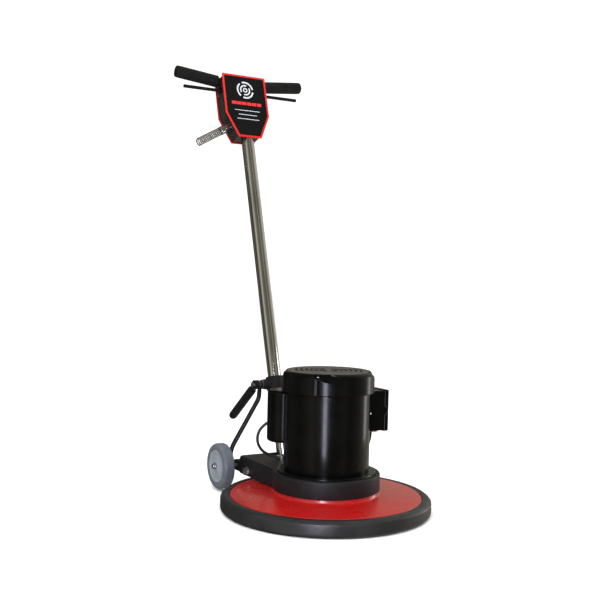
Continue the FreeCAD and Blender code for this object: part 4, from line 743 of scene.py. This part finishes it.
def make_tyre(side, sign):
    outline = rounded_outline(mm([
        (46.2, -16, 0.8), (50, -16.4, 2), (60, -16.4, 6), (63.4, -9, 6), (63.4, 9, 6),
        (60, 16.4, 6), (50, 16.4, 2), (46.2, 16, 0.8),
    ]))
    piece(side + "_tyre", lathe(outline, 160), wheel_frame(sign), "wheel_tyre",
          side + "_wheel", [side + "_wheel_tyre"])


def make_hub(side, sign):
    face = [(45.8, 15, 1.2), (42.5, 15, 1.5), (41, 12.5, 1.5), (35, 12, 0.8), (34.2, 10.4, 0.6),
            (32.4, 10.4, 0.6), (31.6, 12, 0.8), (17.5, 12.6, 3), (14.5, 16.4, 1.2), (6.6, 16.4, 0.5)]
    back = [(a, -b, radius) for a, b, radius in reversed(face)]
    outline = rounded_outline(mm(face + back), 4)
    piece(side + "_hub", lathe(outline, 128), wheel_frame(sign), "wheel_hub",
          side + "_wheel", [side + "_wheel_hub"])


def make_axle_caps():
    caps = []
    for sign in (-1, 1):
        outline = rounded_outline(mm([
            (0, 26.4, 0), (4, 26.2, 1), (7.2, 24, 2), (7.4, 19.5, 1), (9.3, 19, 0.6),
            (9.3, 17, 0.6), (6.5, 17, 0.2), (6.5, 18, 0.2), (0, 18, 0),
        ]), 4)
        shape = lathe(outline, 64)
        shape.transform(wheel_frame(sign))
        caps.append(shape)
    piece("axle_nuts", join(caps), Matrix(), "zinc_steel", "root", ["axle_caps"])


# ---- handle -------------------------------------------------------------------------------------

def make_handle_tube():
    outline = rounded_outline([
        (17.05 * MM, TUBE_LOW, 0.0003), (19.05 * MM, TUBE_LOW, 0.0008),
        (19.05 * MM, TUBE_HIGH, 0.0008), (17.05 * MM, TUBE_HIGH, 0.0003),
    ], 3)
    piece("handle_pole", lathe(outline, 128), HANDLE_FRAME, "chrome", "handle", ["handle_tube"])


BAR_RISE = 6.8
LEVER_DROP = 37


def grip_frame(node, sign):
    """A frame at a grip's middle whose +Z runs along it outwards."""
    low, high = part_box(node)
    rise = math.radians(BAR_RISE)
    along = X_WAY * (sign * math.cos(rise)) + ALONG * math.sin(rise)
    side = REAR.cross(along)
    return basis(side, along.cross(side), along, (low + high) / 2)



def make_grip_outline():
    """A grip closed at its +Z end, with a rounded rim and a shallow dish in its end face."""
    return rounded_outline(mm([
        (0, 66.4, 0), (7.2, 66.4, 0.4), (7.8, 67.4, 0.4), (11, 67.4, 1), (17.4, 66.8, 6.5),
        (17.9, 55, 8), (17.9, -60, 1), (17.9, -66, 1.2), (16.4, -67.4, 0.8), (12.9, -67.4, 0.4),
        (12.9, 63.8, 0.4), (0, 63.8, 0),
    ]), 5)


def make_grips():
    for side, sign in (("left", -1), ("right", 1)):
        piece(side + "_handle_grip", lathe(make_grip_outline(), 96), grip_frame(side + "_grip", sign),
              "grip_rubber", "handle", [side + "_grip"])


def make_lever_grip():
    low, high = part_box("lever_grip")
    drop = math.radians(LEVER_DROP)
    along = Vector((0.0, math.cos(drop), -math.sin(drop)))
    place = basis(X_WAY, along.cross(X_WAY), along, (low + high) / 2)
    outline = rounded_outline(mm([
        (7.1, -79.9, 0.4), (11.5, -79.9, 1.5), (12.4, -77, 1.5), (12.4, 71, 6), (9.8, 79.9, 4),
        (4.2, 79.9, 1), (3.8, 76, 0.5), (0, 76, 0), (0, 72.4, 0), (7.1, 72.4, 0.4),
    ]), 5)
    piece("lever_handle_grip", lathe(outline, 96), place, "grip_rubber", "lever", ["lever_grip"])


# ---- switch box ---------------------------------------------------------------------------------

SHIELD = [(-73, 1157.5), (73, 1157.5), (73.5, 1028), (38.5, 953), (-38.5, 953), (-73.5, 1028)]
FRONT_PLATE = (19.25 * MM, 20.7 * MM)
REAR_PLATE = (-36.0 * MM, -34.5 * MM)
LABEL_FACE = 21.2 * MM
PRINT_GAUGE = 0.12 * MM
PLATE_FRAME = basis(X_WAY, ALONG, -REAR, TUBE_FOOT)


def shield_outline(radius):
    return rounded_outline(mm([(x, along, radius) for x, along in SHIELD]))


def make_plates():
    for name, node, (low, high) in (
            ("front_plate", "switch_box_front_cover", FRONT_PLATE),
            ("rear_plate", "switch_box_rear_cover", REAR_PLATE)):
        shape = prism(shield_outline(4), low, high, 0.45 * MM)
        piece(name, shape, PLATE_FRAME, "plate_enamel", "handle", [node])


def bar_print(x, along, width, height):
    half_width = width / 2
    half_height = height / 2
    outline = rounded_outline(mm([
        (x - half_width, along - half_height, 0.6), (x + half_width, along - half_height, 0.6),
        (x + half_width, along + half_height, 0.6), (x - half_width, along + half_height, 0.6),
    ]), 3)
    return prism(outline, LABEL_FACE, LABEL_FACE + PRINT_GAUGE)


def arc_print(along, inner, outer, start, end, steps=40):
    """A flat piece of ring about the label's middle line, between two angles in degrees."""
    turns = [math.radians(start + (end - start) * step / steps) for step in range(steps + 1)]
    edge = [(math.cos(t) * outer * MM, (along + math.sin(t) * outer) * MM) for t in turns]
    edge += [(math.cos(t) * inner * MM, (along + math.sin(t) * inner) * MM) for t in reversed(turns)]
    return prism(edge, LABEL_FACE, LABEL_FACE + PRINT_GAUGE)


def make_label_prints():
    """A made-up pattern: broken rings over a row of red blocks and three pale bars."""
    middle = 1108
    pale = [arc_print(middle, 23, 28, start, start + 100) for start in (10, 130, 250)]
    pale += [arc_print(middle, 13, 17, start, start + 140) for start in (70, 250)]
    pale += [arc_print(middle, 4, 7.5, start, start + 178) for start in (0, 180)]
    pale += [bar_print(0, along, width, 1.8) for along, width in ((1040, 84), (1026, 62), (1012, 74))]
    piece("label_pale_print", join(pale), PLATE_FRAME, "pale_print", "handle")
    red = [bar_print(x, 1063, 15, 10) for x in (-42, -25, -8.5, 8.5, 25, 42)]
    piece("label_red_print", join(red), PLATE_FRAME, "red_print", "handle")


# ---- terminal box ------------------------------------------------------------------------------

LID_NOTCH_RADIUS = 13 * MM
LID_NOTCH_INSET = 4 * MM
LID_CORNER = 3 * MM
LID_EDGE_WIDTH = 0.9 * MM
LID_EDGE_RISE = 0.3 * MM
LID_EDGE_SINK = LID_EDGE_RISE / 3
UP_WAY = Vector((0.0, 0.0, 1.0))


def notched_edge(lip, middle, low, high, steps=24):
    """The lid's side edge: an upright strip that follows the round notch at mid-height."""
    def line(shift):
        radius = LID_NOTCH_RADIUS + shift
        start = math.acos((LID_NOTCH_INSET + shift) / radius)
        turns = [start * (2 * step / steps - 1) for step in range(steps + 1)]
        arc = [(lip - LID_NOTCH_INSET + radius * math.cos(t), middle + radius * math.sin(t)) for t in turns]
        return [(lip + shift, low)] + arc + [(lip + shift, high)]
    return line(0.0) + line(LID_EDGE_WIDTH)[::-1]


def make_lid_edge():
    """The folded rim of the terminal box's lid, drawn in a paler grey along the free edge as a painted highlight.
    """
    low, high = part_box("terminal_box_lid")
    middle = (low.z + high.z) / 2
    side = notched_edge(low.x, middle, low.z + LID_CORNER, high.z - LID_CORNER)
    strips = []
    for face, way in ((low.y, -1), (high.y, 1)):
        strip = prism(side, -LID_EDGE_SINK, LID_EDGE_RISE)
        strip.transform(basis(X_WAY, UP_WAY * -way, Vector((0.0, way, 0.0)),
                              Vector((0.0, face, (1 + way) * middle))))
        strips.append(strip)
    flat = [(low.x, low.y + LID_CORNER), (low.x + LID_EDGE_WIDTH, low.y + LID_CORNER),
            (low.x + LID_EDGE_WIDTH, high.y - LID_CORNER), (low.x, high.y - LID_CORNER)]
    strips.append(prism(flat, high.z - LID_EDGE_SINK, high.z + LID_EDGE_RISE))
    strips.append(prism(flat, low.z - LID_EDGE_RISE, low.z + LID_EDGE_SINK))
    piece("lid_rim_painted_highlight", join(strips), Matrix(), "lid_edge_painted_highlight", "root")


BOX_SCREW_X = 105.5 * MM
BOX_SCREW_UP = 47 * MM


def make_box_screw():
    """A pan-head screw in the front wall of the terminal box, in a pale diffuse grey that paints its glint."""
    low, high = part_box("terminal_box")
    outline = rounded_outline(mm([(0, 1.7, 0), (2.5, 1.7, 0.9), (2.5, -0.4, 0.1), (0, -0.4, 0)]), 4)
    place = basis(X_WAY, UP_WAY, Vector((0.0, -1.0, 0.0)),
                  Vector((BOX_SCREW_X, low.y, low.z + BOX_SCREW_UP)))
    piece("box_side_screw", lathe(outline, 48), place, "screw_painted_glint", "root")


# ---- captive cable ------------------------------------------------------------------------------

CABLE_DIAMETER = 0.008
CABLE_ROUTE = [
    (-47, 186, 106.7), (-73, 196, 113.5), (-93.5, 199, 133.5), (-101, 199.5, 156.5),
    (-97, 197, 179.5), (-83.5, 191, 197), (-59, 187.5, 210), (-28.5, 180.5, 210.5),
    (4.5, 170, 202), (36.5, 154, 188.5), (65.5, 133, 173), (90, 108, 158), (108.5, 81, 147),
    (121, 53.5, 142), (128.5, 28, 143.5), (131, 8, 155), (131, -5, 174), (131, -8, 196),
]


def make_cable():
    """The motor's cable, from the gland on the casting round to the terminal box."""
    points = [Vector((x * MM, back * MM + MOTOR.y, up * MM)) for x, back, up in CABLE_ROUTE]
    data = bpy.data.curves.new("motor_lead", "CURVE")
    data.dimensions = "3D"
    data.bevel_depth = CABLE_DIAMETER / 2
    data.bevel_resolution = 8
    data.resolution_u = 16
    data.use_fill_caps = True
    spline = data.splines.new("NURBS")
    spline.points.add(len(points) - 1)
    for point, place in zip(spline.points, points):
        point.co = (*place, 1.0)
    spline.order_u = 3
    spline.use_endpoint_u = True
    data.materials.append(materials["cable_rubber"])
    lead = bpy.data.objects.new("motor_lead", data)
    bpy.context.scene.collection.objects.link(lead)
    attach(lead, "root")
    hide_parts("motor_cable")


def make_pieces():
    make_deck()
    make_bumper()
    make_shell()
    make_fan_cover()
    for side, sign in (("left", -1), ("right", 1)):
        make_tyre(side, sign)
        make_hub(side, sign)
    make_axle_caps()
    make_handle_tube()
    make_grips()
    make_lever_grip()
    make_plates()
    make_label_prints()
    make_lid_edge()
    make_box_screw()
    make_cable()


make_camera()
make_floor()
make_world()
make_lights()
materials = make_materials()
paint_cad_nodes(materials)
soften_cad_edges()
make_pieces()

bpy.context.scene.view_settings.view_transform = "Standard"
